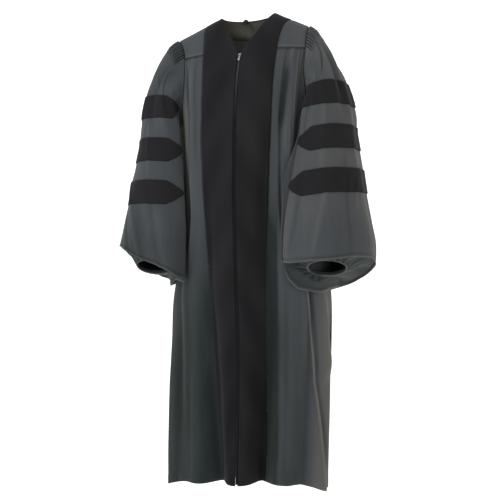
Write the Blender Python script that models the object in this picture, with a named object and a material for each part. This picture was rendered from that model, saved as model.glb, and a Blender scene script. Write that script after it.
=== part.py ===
"""A doctoral graduation gown, filled out as it is worn, with nobody in it.

Metres, +Z up. The front faces -Y and the wearer's left is +X. The origin lies midway between
the two neck points, at the height where the shoulder seams meet the neck, because the gown
hangs from there. Every piece of cloth is a wall that is worked out from one of two surfaces:
body_point for fronts, back and yokes, and Sleeve.point for the sleeves and what lies on them.
"""

import math
from typing import NamedTuple

import bmesh
import bpy
from mathutils import Vector

# Sides of the gown, as the sign of x.
LEFT, RIGHT = 1, -1

# Sizes of the cut, in metres.
CLOTH = 0.0015
VELVET = 0.0022
VELVET_PROUD = 0.0007
SEAM_GAP = 0.0003
ZIP_HALF_GAP = 0.003
FRONT_YOKE_DROP = 0.120
BACK_YOKE_DROP = 0.150
NECK_DROP = 0.128
NECK_HALF_WIDTH = 0.078
SHOULDER_TIP = {LEFT: 0.177, RIGHT: 0.210}
RIDGE_Y = 0.004
VELVET_AT_RIDGE = 0.130
UNDERARM = 0.305
UNDERARM_ROW = 0.330
FRONT_HEM = 1.326
SIDE_HEM = {LEFT: 1.362, RIGHT: 1.350}
BACK_HEM = 1.378
NAPE_DROP = 0.010
NAPE_BAND = 0.060
# Fall of each shoulder seam for each metre that it runs outwards.
SHOULDER_SLOPE = {LEFT: 0.50, RIGHT: 0.41}
# The wearer's right shoulder is lower, and everything that hangs from it.
SHOULDER_LEAN = 0.040
# Share of the way from the middle of a sheet to its side where the armhole meets the yoke seam.
ARMHOLE_CORNER = 0.66
# The same for the velvet's outer edge and the neck point on the shoulder seam.
VELVET_RIDGE_SHARE = 0.44
NECK_RIDGE_SHARE = VELVET_RIDGE_SHARE * NECK_HALF_WIDTH / VELVET_AT_RIDGE
# Lengths from the shoulder seam to the yoke seam, and from the middle to the side, for turning
# a gap into a share of the way.
YOKE_LENGTH = 0.16
SIDE_LENGTH = 0.28
# The velvet's outer edge flares out above this height, to meet the shoulder seam.
FLARE_STARTS = -0.20
FLARE_SHARE = {LEFT: 0.000, RIGHT: 0.012}


class VelvetRow(NamedTuple):
    """The velvet facings' widths at one height, on the wearer's left and right."""

    z: float
    left: float
    right: float


VELVET_ROWS = (
    #         z       left   right
    VelvetRow(-0.200, 0.099, 0.106),
    VelvetRow(-0.500, 0.097, 0.104),
    VelvetRow(-0.700, 0.093, 0.099),
    VelvetRow(-0.900, 0.091, 0.099),
    VelvetRow(-1.080, 0.098, 0.094),
    VelvetRow(-1.340, 0.112, 0.085),
)


class Level(NamedTuple):
    """The body's outline at one height."""

    z: float
    half_width: float
    front_y: float
    back_y: float
    side_y: float
    middle_x: float


BODY_LEVELS = (
    #     z      half_width front_y back_y side_y middle_x
    Level(-0.120, 0.204, -0.092, 0.086, -0.010, 0.000),
    Level(-0.200, 0.198, -0.130, 0.104, -0.006, 0.000),
    Level(-0.310, 0.190, -0.152, 0.114, 0.000, 0.000),
    Level(-0.450, 0.188, -0.166, 0.124, 0.006, 0.001),
    Level(-0.600, 0.192, -0.166, 0.138, 0.014, 0.003),
    Level(-0.780, 0.228, -0.154, 0.160, 0.036, 0.004),
    Level(-0.940, 0.233, -0.128, 0.178, 0.036, 0.003),
    Level(-1.120, 0.232, -0.120, 0.190, 0.020, -0.001),
    Level(-1.390, 0.229, -0.118, 0.198, 0.000, -0.007),
)


class Fold(NamedTuple):
    """A soft ridge (rise above 0) or trough that runs down one sheet of the body."""

    sheet: str
    at_top: float
    at_hem: float
    half_width: float
    rise: float
    starts: float
    full: float
    fades: float


# at_top and at_hem are shares from the middle of the sheet (0) to its side seam (1).
BODY_FOLDS = (
    #    sheet         at_top at_hem width  rise    starts full   fades
    Fold("front_left", 0.365, 0.185, 0.085, -0.068, -0.26, -1.36, -9.0),
    Fold("front_left", 0.510, 0.300, 0.050, -0.011, -0.13, -0.20, -0.40),
    Fold("front_left", 0.590, 0.420, 0.060, 0.009, -0.13, -0.30, -9.0),
    Fold("front_left", 0.670, 0.560, 0.040, -0.007, -0.13, -0.20, -9.0),
    Fold("front_left", 0.480, 0.960, 0.070, 0.012, -0.70, -0.90, -9.0),
    Fold("front_left", 0.660, 1.140, 0.080, -0.016, -0.76, -1.00, -9.0),
    Fold("front_right", 0.365, 0.185, 0.085, -0.064, -0.36, -1.36, -9.0),
    Fold("front_right", 0.480, 0.480, 0.060, 0.006, -0.13, -0.22, -0.60),
    Fold("front_right", 0.620, 0.640, 0.060, -0.008, -0.13, -0.24, -9.0),
    Fold("front_right", 0.780, 0.520, 0.090, -0.010, -0.80, -1.15, -9.0),
    Fold("front_right", 0.820, 0.760, 0.090, 0.009, -0.76, -1.05, -9.0),
)


class BackFold(NamedTuple):
    """One of the deep hanging folds of the back, from the wearer's right (-1) to left (1)."""

    place: float
    half_width: float
    rise: float
    starts: float


BACK_FOLDS = (
    #        place  width  rise   starts
    BackFold(-0.86, 0.055, 0.016, -0.60),
    BackFold(-0.69, 0.060, 0.024, -0.24),
    BackFold(-0.52, 0.052, 0.021, -0.20),
    BackFold(-0.36, 0.056, 0.030, -0.18),
    BackFold(-0.19, 0.050, 0.023, -0.20),
    BackFold(-0.03, 0.058, 0.032, -0.18),
    BackFold(0.14, 0.052, 0.024, -0.22),
    BackFold(0.31, 0.058, 0.030, -0.18),
    BackFold(0.48, 0.050, 0.022, -0.20),
    BackFold(0.64, 0.060, 0.026, -0.24),
    BackFold(0.83, 0.060, 0.018, -0.55),
)
BACK_FOLD_HOLLOW = 0.010
# Height of the cartridge pleats, and how far down they are held below the yoke.
PLEAT_RISE = 0.0026
BACK_PLEAT_BAND = 0.034


class SleeveRing(NamedTuple):
    """The bell sleeves' outline at one height, before the body presses it. The x of each
    middle is its distance outwards."""

    z: float
    left_x: float
    left_y: float
    right_x: float
    right_y: float
    half_width: float
    half_depth: float
    turn: float


SLEEVE_RINGS = (
    #          z      left_x left_y  right_x right_y half_width half_depth turn
    SleeveRing(-0.360, 0.220, -0.020, 0.238, -0.008, 0.085, 0.100, 12.0),
    SleeveRing(-0.450, 0.226, -0.036, 0.242, -0.018, 0.095, 0.115, 14.0),
    SleeveRing(-0.530, 0.232, -0.048, 0.247, -0.026, 0.103, 0.126, 15.0),
    SleeveRing(-0.610, 0.239, -0.060, 0.252, -0.034, 0.112, 0.136, 15.0),
    SleeveRing(-0.680, 0.245, -0.068, 0.257, -0.040, 0.119, 0.142, 15.0),
    SleeveRing(-0.810, 0.245, -0.074, 0.256, -0.044, 0.113, 0.134, 15.0),
)
SLEEVE_CLEAR_OF_BODY = {LEFT: 0.020, RIGHT: 0.015}
# The sleeves hang in front of the hips, most so below the second height.
IN_FRONT_STARTS, IN_FRONT_FULL = -0.28, -0.52
IN_FRONT = {LEFT: 1.0, RIGHT: 0.5}
# How far the pleated head reaches out, and how soon it falls.
SLEEVE_TOP_OUT = {LEFT: 0.152, RIGHT: 0.215}
SLEEVE_TOP_DOWN = {LEFT: 0.072, RIGHT: 0.072}
SLEEVE_LOW_OUT = 0.045


class SleeveFold(NamedTuple):
    """A soft ridge or trough that runs down a sleeve, by its angle round the sleeve."""

    side: int
    at_top: float
    at_hem: float
    half_width: float
    rise: float
    starts: float
    full: float
    fades: float


# Angles are degrees from the outer line of the sleeve, positive towards its front.
SLEEVE_FOLDS = (
    #          side at_top at_hem width rise   starts full  fades
    SleeveFold(1, 22.0, 20.0, 9.0, -0.006, -0.09, -0.15, -0.30),
    SleeveFold(1, 40.0, 34.0, 9.0, 0.005, -0.09, -0.16, -0.34),
    SleeveFold(1, 74.0, 80.0, 10.0, -0.005, -0.12, -0.18, -0.30),
    SleeveFold(1, 10.0, -4.0, 10.0, 0.004, -0.20, -0.36, -9.0),
    SleeveFold(1, 118.0, 132.0, 16.0, 0.008, -0.40, -0.64, -9.0),
    SleeveFold(1, 160.0, 168.0, 18.0, -0.008, -0.40, -0.64, -9.0),
    SleeveFold(-1, 30.0, 26.0, 9.0, 0.006, -0.09, -0.15, -0.34),
    SleeveFold(-1, 56.0, 60.0, 9.0, -0.006, -0.10, -0.16, -0.34),
    SleeveFold(-1, 84.0, 92.0, 11.0, 0.005, -0.14, -0.20, -0.36),
    SleeveFold(-1, -8.0, 66.0, 14.0, -0.009, -0.46, -0.60, -9.0),
    SleeveFold(-1, 22.0, 100.0, 16.0, 0.007, -0.48, -0.62, -9.0),
    SleeveFold(0, -34.0, -30.0, 12.0, 0.006, -0.10, -0.20, -9.0),
    SleeveFold(0, -62.0, -66.0, 12.0, -0.008, -0.12, -0.24, -9.0),
    SleeveFold(0, -92.0, -100.0, 14.0, 0.010, -0.16, -0.40, -9.0),
    SleeveFold(0, -124.0, -134.0, 14.0, -0.010, -0.30, -0.50, -9.0),
)


class HemPoint(NamedTuple):
    """Height of each sleeve's lower edge, by the angle from the outer line."""

    angle: float
    left: float
    right: float


SLEEVE_HEM = (
    #         angle  left    right
    HemPoint(-180.0, -0.738, -0.752),
    HemPoint(-150.0, -0.788, -0.772),
    HemPoint(-120.0, -0.803, -0.768),
    HemPoint(-90.0, -0.785, -0.746),
    HemPoint(-60.0, -0.764, -0.713),
    HemPoint(-30.0, -0.730, -0.662),
    HemPoint(0.0, -0.710, -0.646),
    HemPoint(30.0, -0.705, -0.653),
    HemPoint(60.0, -0.711, -0.683),
    HemPoint(90.0, -0.713, -0.706),
    HemPoint(120.0, -0.716, -0.742),
    HemPoint(150.0, -0.712, -0.760),
    HemPoint(180.0, -0.738, -0.752),
)
WRIST_MIDDLE = {LEFT: Vector((0.247, -0.118, -0.735)), RIGHT: Vector((-0.256, -0.080, -0.714))}
# The turned-in end starts a little above the sleeve's edge, close to the wall's inner face.
RETURN_START = 0.94
RETURN_INSIDE = CLOTH + 0.0022
WRIST_HALF_WIDTH = 0.052
WRIST_HALF_DEPTH = 0.044
WRIST_TILT = 0.50
# How much further from the body the turned-in end keeps than the sleeve does.
RETURN_CLEARER = 0.013
RETURN_DOME = 0.008
RETURN_PUCKER = 0.005
RETURN_PUCKERS = 7


class Bar(NamedTuple):
    """One of the three velvet bars of a doctor's sleeve: its middle, and the column of each
    sleeve's wall, counted forwards from the outer line, that its front point ends on."""

    z: float
    left_column: int
    right_column: int


BARS = (
    #   z       left_column right_column
    Bar(-0.253, 14, 13),
    Bar(-0.377, 11, 12),
    Bar(-0.499, 12, 12),
)
BAR_HALF_HEIGHT = 0.034
BAR_BACK_COLUMN = -9
# Degrees round the sleeve that a point takes.
BAR_POINT = 30.0
BAR_POINT_ROUNDING = 0.75
BAR_TIP_HALF = 0.0012
# The bars drop a little towards their front points.
BAR_DROP = 0.010
BAR_LIFT = {LEFT: 0.0017, RIGHT: 0.0012}
BAR_WALL = 0.0016

# Rows and columns of the walls.
BODY_ROWS = (
    -0.128,
    -0.155,
    -0.190,
    -0.235,
    -0.285,
    -UNDERARM_ROW,
    -0.410,
    -0.500,
    -0.600,
    -0.710,
    -0.830,
    -0.960,
    -1.100,
    -1.230,
)
YOKE_ROWS = 5
VELVET_COLUMNS = 3
FRONT_COLUMNS = 7
# Shares of the way from the armhole's corner to the side seam.
FRONT_ARMHOLE_COLUMNS = (0.0, 0.05, 0.16, 0.33, 0.55, 0.78, 1.0)
BACK_ARMHOLE_COLUMNS = (0.0, 0.04, 0.11, 0.2, 0.33, 0.48, 0.65, 0.82, 1.0)
NECK_COLUMNS = 12
SHOULDER_COLUMNS = 7
# The pleated head takes HEAD_COLUMNS of the sleeve's columns, four to a row of the yokes,
# and the rest are two to a column of the armhole.
HEAD_COLUMNS = 4 * 2 * YOKE_ROWS
LOW_COLUMNS = 2 * (len(FRONT_ARMHOLE_COLUMNS) + len(BACK_ARMHOLE_COLUMNS) - 2)
SLEEVE_COLUMNS = HEAD_COLUMNS + LOW_COLUMNS
HEAD_ANGLE = 62.0
SLEEVE_HEAD_BAND = (0.035, 0.10, 0.18)
SLEEVE_TOP_ROWS = (0.27, 0.38, 0.50, 0.64, 0.81, 1.0)
SLEEVE_LOW_ROWS = (0.25, 0.5, 0.75, 1.0)
# The normals are taken a little inside the sleeve's two ends.
FIRST_NORMAL, LAST_NORMAL = 0.02, 1.985
RETURN_ROWS = 4

# The zip, its slider and its pull tab. Heights are along the chain, from where it starts.
CHAIN_HALF_WIDTH = 0.0026
CHAIN_DEPTH = 0.0030
CHAIN_PROUD = 0.0004
CHAIN_BELOW_V = 0.006
CHAIN_ABOVE_HEM = 0.004
SLIDER_HALF_WIDTH = 0.0045
SLIDER_TOP, SLIDER_FOOT = 0.0040, -0.0080
SLIDER_PLATE = 0.0012
SLIDER_MOUTH = 0.0044
WEDGE_HALF_WIDTH = 0.0016
WEDGE_TOP, WEDGE_FOOT = 0.0038, 0.0008
BRIDGE_HALF_WIDTH = 0.0011
BRIDGE_RISE = 0.0042
BRIDGE_THICK = 0.0010
BRIDGE_TOP, BRIDGE_FOOT = 0.0012, -0.0042
# How far joined pieces of metal reach into each other.
BITE = 0.0004
PIN_RADIUS = 0.0006
PIN_OUT = 0.0012
PIN_Z = -0.0023
PULL_HALF_WIDTH = 0.0030
PULL_LENGTH = 0.0190
PULL_THICK = 0.0012
PULL_EYE = 0.0064
PULL_SIDE_GAP = 0.0005
LOOP_WIDTH = 0.019
LOOP_RISE = 0.008
LOOP_ROOT = 0.006
LOOP_DEPTH = 0.004
LOOP_GAP = 0.0008
LOOP_STEPS = 8
# The loop is sewn a little to the wearer's right of the middle.
LOOP_X = -0.014

# Colours, as linear red, green and blue.
GREY = (0.042, 0.046, 0.047)
BLACK_VELVET = (0.012, 0.012, 0.014)
ZIP_GREY = (0.060, 0.064, 0.070)
STEEL = (0.62, 0.63, 0.65)


def ramp(value, start, end):
    """0 at start, 1 at end, smooth between."""
    share = min(1.0, max(0.0, (value - start) / (end - start)))
    return share * share * (3.0 - 2.0 * share)


def mix(a, b, share):
    return a + (b - a) * share


def smooth_row(table, z):
    """The table's columns at height z, on a smooth curve through its rows."""
    for k in range(len(table) - 2):
        if z >= table[k + 1].z:
            break
    else:
        k = len(table) - 2
    before = table[max(k - 1, 0)]
    here, after = table[k], table[k + 1]
    beyond = table[min(k + 2, len(table) - 1)]
    t = min(1.0, max(0.0, (z - here.z) / (after.z - here.z)))
    span = after.z - here.z
    values = []
    for column in range(1, len(here)):
        start_slope = (after[column] - before[column]) / (after.z - before.z) * span
        end_slope = (beyond[column] - here[column]) / (beyond.z - here.z) * span
        values.append(
            (2 * t**3 - 3 * t**2 + 1) * here[column]
            + (t**3 - 2 * t**2 + t) * start_slope
            + (3 * t**2 - 2 * t**3) * after[column]
            + (t**3 - t**2) * end_slope
        )
    return values


def bump(distance, half_width):
    return math.exp(-((distance / half_width) ** 2))


def front_fold(sheet, share, z):
    """How far the front cloth stands out of the plain outline."""
    rise = 0.0
    down = (z + FRONT_YOKE_DROP) / (FRONT_YOKE_DROP - FRONT_HEM)
    for fold in BODY_FOLDS:
        if fold.sheet == sheet and z < fold.starts:
            grown = min(1.0, (fold.starts - z) / (fold.starts - fold.full))
            kept = 1.0 - ramp(-z, -fold.fades - 0.12, -fold.fades)
            place = mix(fold.at_top, fold.at_hem, down)
            rise += fold.rise * grown * kept * bump(share - place, fold.half_width)
    return rise * (1.0 - 0.6 * ramp(share, 0.86, 1.0))


def back_fold(across, z):
    """How far the back cloth stands out, across running from -1 to 1 between the side seams."""
    rise = 0.0
    for fold in BACK_FOLDS:
        if z < fold.starts:
            grown = min(1.0, (fold.starts - z) / (fold.starts + BACK_HEM)) ** 0.8
            rise += fold.rise * grown * bump(across - fold.place, fold.half_width)
    hollow = BACK_FOLD_HOLLOW * min(1.0, max(0.0, -z - BACK_YOKE_DROP) / 0.9)
    return (rise - hollow) * (1.0 - ramp(abs(across), 0.90, 1.0))


def ring_point(front, side, share, z):
    """A point of the body at height z, share of the way from the middle to the side seam."""
    half_width, front_y, back_y, side_y, middle_x = smooth_row(BODY_LEVELS, z)
    angle = share * math.pi / 2
    depth = (side_y - front_y) if front else (back_y - side_y)
    facing = -1.0 if front else 1.0
    sheet = "front_left" if side == LEFT else "front_right"
    rise = front_fold(sheet, share, z) if front else back_fold(side * share, z)
    outward = Vector((math.sin(angle) / half_width, math.cos(angle) / depth)).normalized()
    across = half_width * math.sin(angle) + rise * outward.x
    along = depth * math.cos(angle) + rise * outward.y
    return Vector((middle_x + side * across, side_y + facing * along, z))


def ridge_point(side, share):
    if share <= VELVET_RIDGE_SHARE:
        across = VELVET_AT_RIDGE * share / VELVET_RIDGE_SHARE
    else:
        beyond = (share - VELVET_RIDGE_SHARE) / (ARMHOLE_CORNER - VELVET_RIDGE_SHARE)
        across = mix(VELVET_AT_RIDGE, SHOULDER_TIP[side], beyond)
    fall = SHOULDER_SLOPE[side] * max(0.0, across - NECK_HALF_WIDTH)
    return Vector((side * across, RIDGE_Y, -fall))


def yoke_point(front, side, share, down):
    """A point between the shoulder seam (down 0) and the yoke seam (down 1)."""
    seam = -FRONT_YOKE_DROP if front else -BACK_YOKE_DROP
    start = ridge_point(side, share)
    end = ring_point(front, side, share, seam)
    step = 0.01
    fall = (ring_point(front, side, share, seam - step) - end) / step
    way = end - start
    leaving = Vector((way.x, way.y * 1.7, way.z * 0.30))
    arriving = fall * (-way.z) * 1.25
    t = down
    return (
        start * (2 * t**3 - 3 * t**2 + 1)
        + leaving * (t**3 - 2 * t**2 + t)
        + end * (3 * t**2 - 2 * t**3)
        + arriving * (t**3 - t**2)
    )


def body_point(front, side, share, level):
    """level 0 to 1 runs down the yoke, and below 0 it is a height in metres."""
    if level < 0.0:
        return ring_point(front, side, share, level)
    return yoke_point(front, side, share, level)


def outward_normal(surface, u, v, step_u=0.004, step_v=0.004):
    """The normal of a surface function, on the side that du x dv points to."""
    along = surface(u + step_u, v) - surface(u - step_u, v)
    down = surface(u, v + step_v) - surface(u, v - step_v)
    return along.cross(down).normalized()


def ridge_normal(side, share):
    along = ridge_point(side, share + 0.01) - ridge_point(side, share - 0.01)
    normal = along.cross(Vector((0.0, 1.0, 0.0)))
    return (normal if normal.z > 0.0 else -normal).normalized()


def body_normal(front, side, share, level):
    if level >= 0.0:
        low = min(max(level, 0.01), 0.99)
        normal = outward_normal(
            lambda u, v: yoke_point(front, side, u, v), max(share, 0.005), low
        )
        over = (normal if normal.z > 0.0 else -normal).lerp(
            ridge_normal(side, share), 1.0 - ramp(level, 0.0, 0.18)
        )
        if level < 0.18:
            return over.normalized()
    else:
        normal = outward_normal(
            lambda u, v: ring_point(front, side, u, v), max(share, 0.005), level
        )
    middle = Vector((0.0, 0.02, min(-0.2, level if level < 0.0 else -0.2)))
    facing = body_point(front, side, share, level) - middle
    return normal if normal.dot(facing) > 0.0 else -normal


def leaned(point):
    """Lets the wearer's right side hang lower."""
    return Vector((point.x, point.y, point.z + SHOULDER_LEAN * point.x))


# Wall building.


def triangles(upper_count, lower_count, closed):
    """The triangles between two rows of points, as their corners' (row, column). A row may hold
    half the points of the row above it, where small pleats run out into larger folds."""
    steps = upper_count if closed else upper_count - 1
    if upper_count == lower_count:
        for j in range(steps):
            k = (j + 1) % upper_count
            yield (0, j), (1, j), (1, k)
            yield (0, j), (1, k), (0, k)
        return
    for j in range(steps // 2):
        a, b, c = 2 * j, 2 * j + 1, (2 * j + 2) % upper_count
        k = (j + 1) % lower_count
        yield (0, a), (1, j), (0, b)
        yield (0, b), (1, j), (1, k)
        yield (0, b), (1, k), (0, c)


def wall(name, outer, inner, closed, material):
    """A cloth wall between two grids of points, row by row. Both faces of the wall are split
    along the same diagonals, so that a twisted cell keeps its thickness."""
    bm = bmesh.new()
    sheets = [[[bm.verts.new(p) for p in row] for row in grid] for grid in (outer, inner)]
    for r in range(len(outer) - 1):
        for corners in triangles(len(outer[r]), len(outer[r + 1]), closed):
            front, back = (
                [sheet[r + down][column] for down, column in corners] for sheet in sheets
            )
            bm.faces.new(front)
            bm.faces.new(back[::-1])

    def rim(first, second, loops):
        steps = len(first) if loops else len(first) - 1
        for j in range(steps):
            k = (j + 1) % len(first)
            bm.faces.new((first[j], first[k], second[k], second[j]))

    rim(sheets[0][0], sheets[1][0], closed)
    rim(sheets[1][-1], sheets[0][-1], closed)
    if not closed:
        first_edges, last_edges = (
            [[row[column] for row in sheet] for sheet in sheets] for column in (0, -1)
        )
        rim(first_edges[1], first_edges[0], False)
        rim(last_edges[0], last_edges[1], False)
    bmesh.ops.recalc_face_normals(bm, faces=bm.faces)
    if bm.calc_volume(signed=True) < 0:
        bmesh.ops.reverse_faces(bm, faces=bm.faces)
    return add_object(name, bm, material)


def add_object(name, bm, material):
    mesh = bpy.data.meshes.new(name)
    bm.to_mesh(mesh)
    bm.free()
    mesh.materials.append(material)
    mesh.shade_smooth()
    mesh.set_sharp_from_angle(angle=math.radians(40))
    made = bpy.data.objects.new(name, mesh)
    bpy.context.scene.collection.objects.link(made)
    return made


def body_wall(name, front, rows, material, proud=0.0, thick=CLOTH, pleat=None):
    """A wall on the body. rows holds, for each row, its (side, share, level) points."""
    outer, inner = [], []
    for r, row in enumerate(rows):
        outer_row, inner_row = [], []
        for j, (side, share, level) in enumerate(row):
            point = body_point(front[r], side, share, level)
            normal = body_normal(front[r], side, share, level)
            lift = proud + (pleat(r, j) if pleat else 0.0)
            outer_row.append(leaned(point + normal * lift))
            inner_row.append(leaned(point + normal * (lift - thick)))
        outer.append(outer_row)
        inner.append(inner_row)
    return wall(name, outer, inner, False, material)


# Lines on the body: velvet edge, neck edge, armhole.


def arc_share(side, z, length):
    """The share at which the front's folded outline is that long, from the middle."""
    steps = 120
    travelled = 0.0
    last = ring_point(True, side, 0.0, z)
    for k in range(1, steps + 1):
        share = 0.6 * k / steps
        point = ring_point(True, side, share, z)
        travelled += (point - last).length
        if travelled >= length:
            return share
        last = point
    return 0.6


def velvet_width(side, z):
    left, right = smooth_row(VELVET_ROWS, z)
    return left if side == LEFT else right


def velvet_edge(side, level):
    """The share where the velvet ends and the grey cloth begins."""
    at_seam = arc_share(side, FLARE_STARTS, velvet_width(side, FLARE_STARTS)) + FLARE_SHARE[side]
    if level >= 0.0:
        return mix(VELVET_RIDGE_SHARE, at_seam, ramp(level, -0.35, 1.0))
    height = min(level, FLARE_STARTS)
    below = arc_share(side, height, velvet_width(side, height))
    return mix(at_seam, below, ramp(-level, FRONT_YOKE_DROP, -FLARE_STARTS))


def neck_share(side, level):
    """The share of the V neck's edge at one level of the yoke."""
    low, high = 0.0, 0.5
    for _ in range(40):
        share = (low + high) / 2
        point = body_point(True, side, share, level)
        wanted = NECK_HALF_WIDTH * (point.z + NECK_DROP) / NECK_DROP
        if abs(point.x) < wanted:
            low = share
        else:
            high = share
    return share


def zip_share(z):
    """The share of the velvet's edge beside the zip."""
    half_width = smooth_row(BODY_LEVELS, z)[0]
    return ZIP_HALF_GAP / half_width * 2.0 / math.pi


def armhole_level(front, along):
    """The armhole's height, along running from its corner with the yoke (0) to the underarm."""
    seam = FRONT_YOKE_DROP if front else BACK_YOKE_DROP
    return -mix(seam, UNDERARM, math.sqrt(1.0 - (1.0 - along) ** 2))


def column_top(front, share):
    seam = FRONT_YOKE_DROP if front else BACK_YOKE_DROP
    if share <= ARMHOLE_CORNER:
        return -seam
    return armhole_level(front, (share - ARMHOLE_CORNER) / (1.0 - ARMHOLE_CORNER))


def hem_level(front, side, share):
    return -mix(FRONT_HEM if front else BACK_HEM, SIDE_HEM[side], ramp(share, 0.45, 1.0))


def row_level(front, share, level, seam_gap):
    """The height of a row at a column, squeezed under the armhole."""
    top = column_top(front, share) - seam_gap
    if level <= -UNDERARM_ROW:
        return level
    first = -FRONT_YOKE_DROP if front else -BACK_YOKE_DROP
    return mix(-UNDERARM_ROW, top, (level + UNDERARM_ROW) / (first + UNDERARM_ROW))


def gap_share(length, z):
    return length / (smooth_row(BODY_LEVELS, z)[0] * math.pi / 2)


# Body pieces.


def front_panel(side, material):
    """The grey front, from the velvet's edge to the side seam."""
    name = "front_left" if side == LEFT else "front_right"
    rows = []
    levels = [-FRONT_YOKE_DROP, *BODY_ROWS, None]
    for level in levels:
        row = []
        edge_level = -FRONT_HEM if level is None else level
        first = velvet_edge(side, edge_level) + gap_share(SEAM_GAP, edge_level)
        shares = [
            mix(first, ARMHOLE_CORNER, j / FRONT_COLUMNS) for j in range(FRONT_COLUMNS)
        ]
        for along in FRONT_ARMHOLE_COLUMNS:
            shares.append(mix(ARMHOLE_CORNER, 1.0, along))
        shares[-1] -= gap_share(SEAM_GAP / 2, edge_level)
        for share in shares:
            if level is None:
                z = hem_level(True, side, share)
            else:
                z = row_level(True, share, level, SEAM_GAP)
            row.append((side, share, z))
        rows.append(row)
    return body_wall(name, [True] * len(rows), rows, material)


def front_yoke(side, material):
    """The yoke from the shoulder seam down to the front panel."""
    name = "yoke_front_left" if side == LEFT else "yoke_front_right"
    rows = []
    for k in range(YOKE_ROWS + 1):
        level = mix(SEAM_GAP / YOKE_LENGTH, 1.0, k / YOKE_ROWS)
        first = velvet_edge(side, level) + SEAM_GAP / SIDE_LENGTH
        rows.append(
            [
                (side, mix(first, ARMHOLE_CORNER, j / FRONT_COLUMNS), level)
                for j in range(FRONT_COLUMNS + 1)
            ]
        )
    return body_wall(name, [True] * len(rows), rows, material)


def nape_levels():
    """Where the neck edge and the velvet's lower edge cross the middle of the back yoke."""
    found = []
    length, last, k = 0.0, None, 0
    wanted = None
    while k <= 400:
        level = k / 400
        point = yoke_point(False, LEFT, 0.0, level)
        if not found and point.z <= -NAPE_DROP:
            found.append(level)
            wanted = length + NAPE_BAND
        if last is not None:
            length += (point - last).length
        if wanted is not None and length >= wanted:
            found.append(level)
            return found
        last = point
        k += 1
    return [0.3, 0.6]


def neck_columns():
    """Shares of the back yoke's columns: under the velvet's edge, then along the shoulder."""
    shares = [VELVET_RIDGE_SHARE * j / NECK_COLUMNS for j in range(NECK_COLUMNS)]
    for j in range(SHOULDER_COLUMNS + 1):
        shares.append(mix(VELVET_RIDGE_SHARE, ARMHOLE_CORNER, j / SHOULDER_COLUMNS))
    return shares


def quarter(share):
    return math.sqrt(max(0.0, 1.0 - share * share))


def back_yoke(material):
    """The back yoke, from the velvet and the shoulder seams down to the pleated back."""
    lower_edge = nape_levels()[1]
    half = neck_columns()
    shares = [-s for s in reversed(half[1:])] + half
    rows = []
    for k in range(YOKE_ROWS + 1):
        row = []
        for share in shares:
            size = abs(share)
            top = lower_edge * quarter(min(size / VELVET_RIDGE_SHARE, 1.0))
            level = mix(top + SEAM_GAP / YOKE_LENGTH, 1.0, k / YOKE_ROWS)
            row.append((LEFT if share >= 0 else RIGHT, size, level))
        rows.append(row)
    return body_wall("yoke_back", [False] * len(rows), rows, material)


def back_panel(material):
    """The back, cartridge pleated under the yoke and hanging in deep folds."""
    half = neck_columns()
    fine = []
    for first, second in zip(half, half[1:]):
        fine += [first, mix(first, second, 0.5)]
    sides = [mix(ARMHOLE_CORNER, 1.0, along) for along in BACK_ARMHOLE_COLUMNS]
    fine += sides
    fine[-1] -= gap_share(SEAM_GAP / 2, -0.8)
    shares = [-s for s in reversed(fine[1:])] + fine
    pleated = len(half) * 2 - 2
    middle = len(fine) - 1
    band = (0.0, 0.25, 0.6, 1.0)
    levels = [-BACK_YOKE_DROP - BACK_PLEAT_BAND * b for b in band]
    levels += [z for z in BODY_ROWS if z < levels[-1] - 0.03] + [None]
    rows = []
    for r, level in enumerate(levels):
        chosen = shares if r < len(band) else shares[::2]
        row = []
        for share in chosen:
            size = abs(share)
            side = LEFT if share >= 0 else RIGHT
            if level is None:
                z = hem_level(False, side, size)
            else:
                z = row_level(False, size, level, SEAM_GAP)
            row.append((side, size, z))
        rows.append(row)

    def pleat(r, j):
        if r == 0 or r >= len(band) or abs(j - middle) > pleated:
            return 0.0
        return PLEAT_RISE if (j - middle) % 2 == 0 else -PLEAT_RISE

    return body_wall("back", [False] * len(rows), rows, material, pleat=pleat)


def velvet_panel(side, material):
    """Velvet facing: up one front edge, round the neck and to the middle of the back."""
    name = "velvet_left" if side == LEFT else "velvet_right"
    rows, front = [], []

    def station(is_front, inner, outer):
        front.append(is_front)
        row = []
        for c in range(VELVET_COLUMNS + 1):
            over = c / VELVET_COLUMNS
            row.append((side, mix(inner[0], outer[0], over), mix(inner[1], outer[1], over)))
        rows.append(row)

    for z in [-FRONT_HEM, *reversed(BODY_ROWS)]:
        station(True, (zip_share(z), z), (velvet_edge(side, z), z))
    for k in range(YOKE_ROWS, -1, -1):
        level = k / YOKE_ROWS
        inner = max(neck_share(side, level), zip_share(-FRONT_YOKE_DROP))
        station(True, (inner, level), (velvet_edge(side, level), level))
    neck_edge, lower_edge = nape_levels()
    least = gap_share(SEAM_GAP / 2, -FRONT_YOKE_DROP)
    for j in range(NECK_COLUMNS - 1, -1, -1):
        turn = j / NECK_COLUMNS
        inner_share = max(NECK_RIDGE_SHARE * turn, least)
        outer_share = max(VELVET_RIDGE_SHARE * turn, least)
        inner = (inner_share, neck_edge * quarter(inner_share / NECK_RIDGE_SHARE))
        outer = (outer_share, lower_edge * quarter(outer_share / VELVET_RIDGE_SHARE))
        station(False, inner, outer)
    return body_wall(name, front, rows, material, proud=VELVET_PROUD, thick=VELVET)


# Sleeves.


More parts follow.
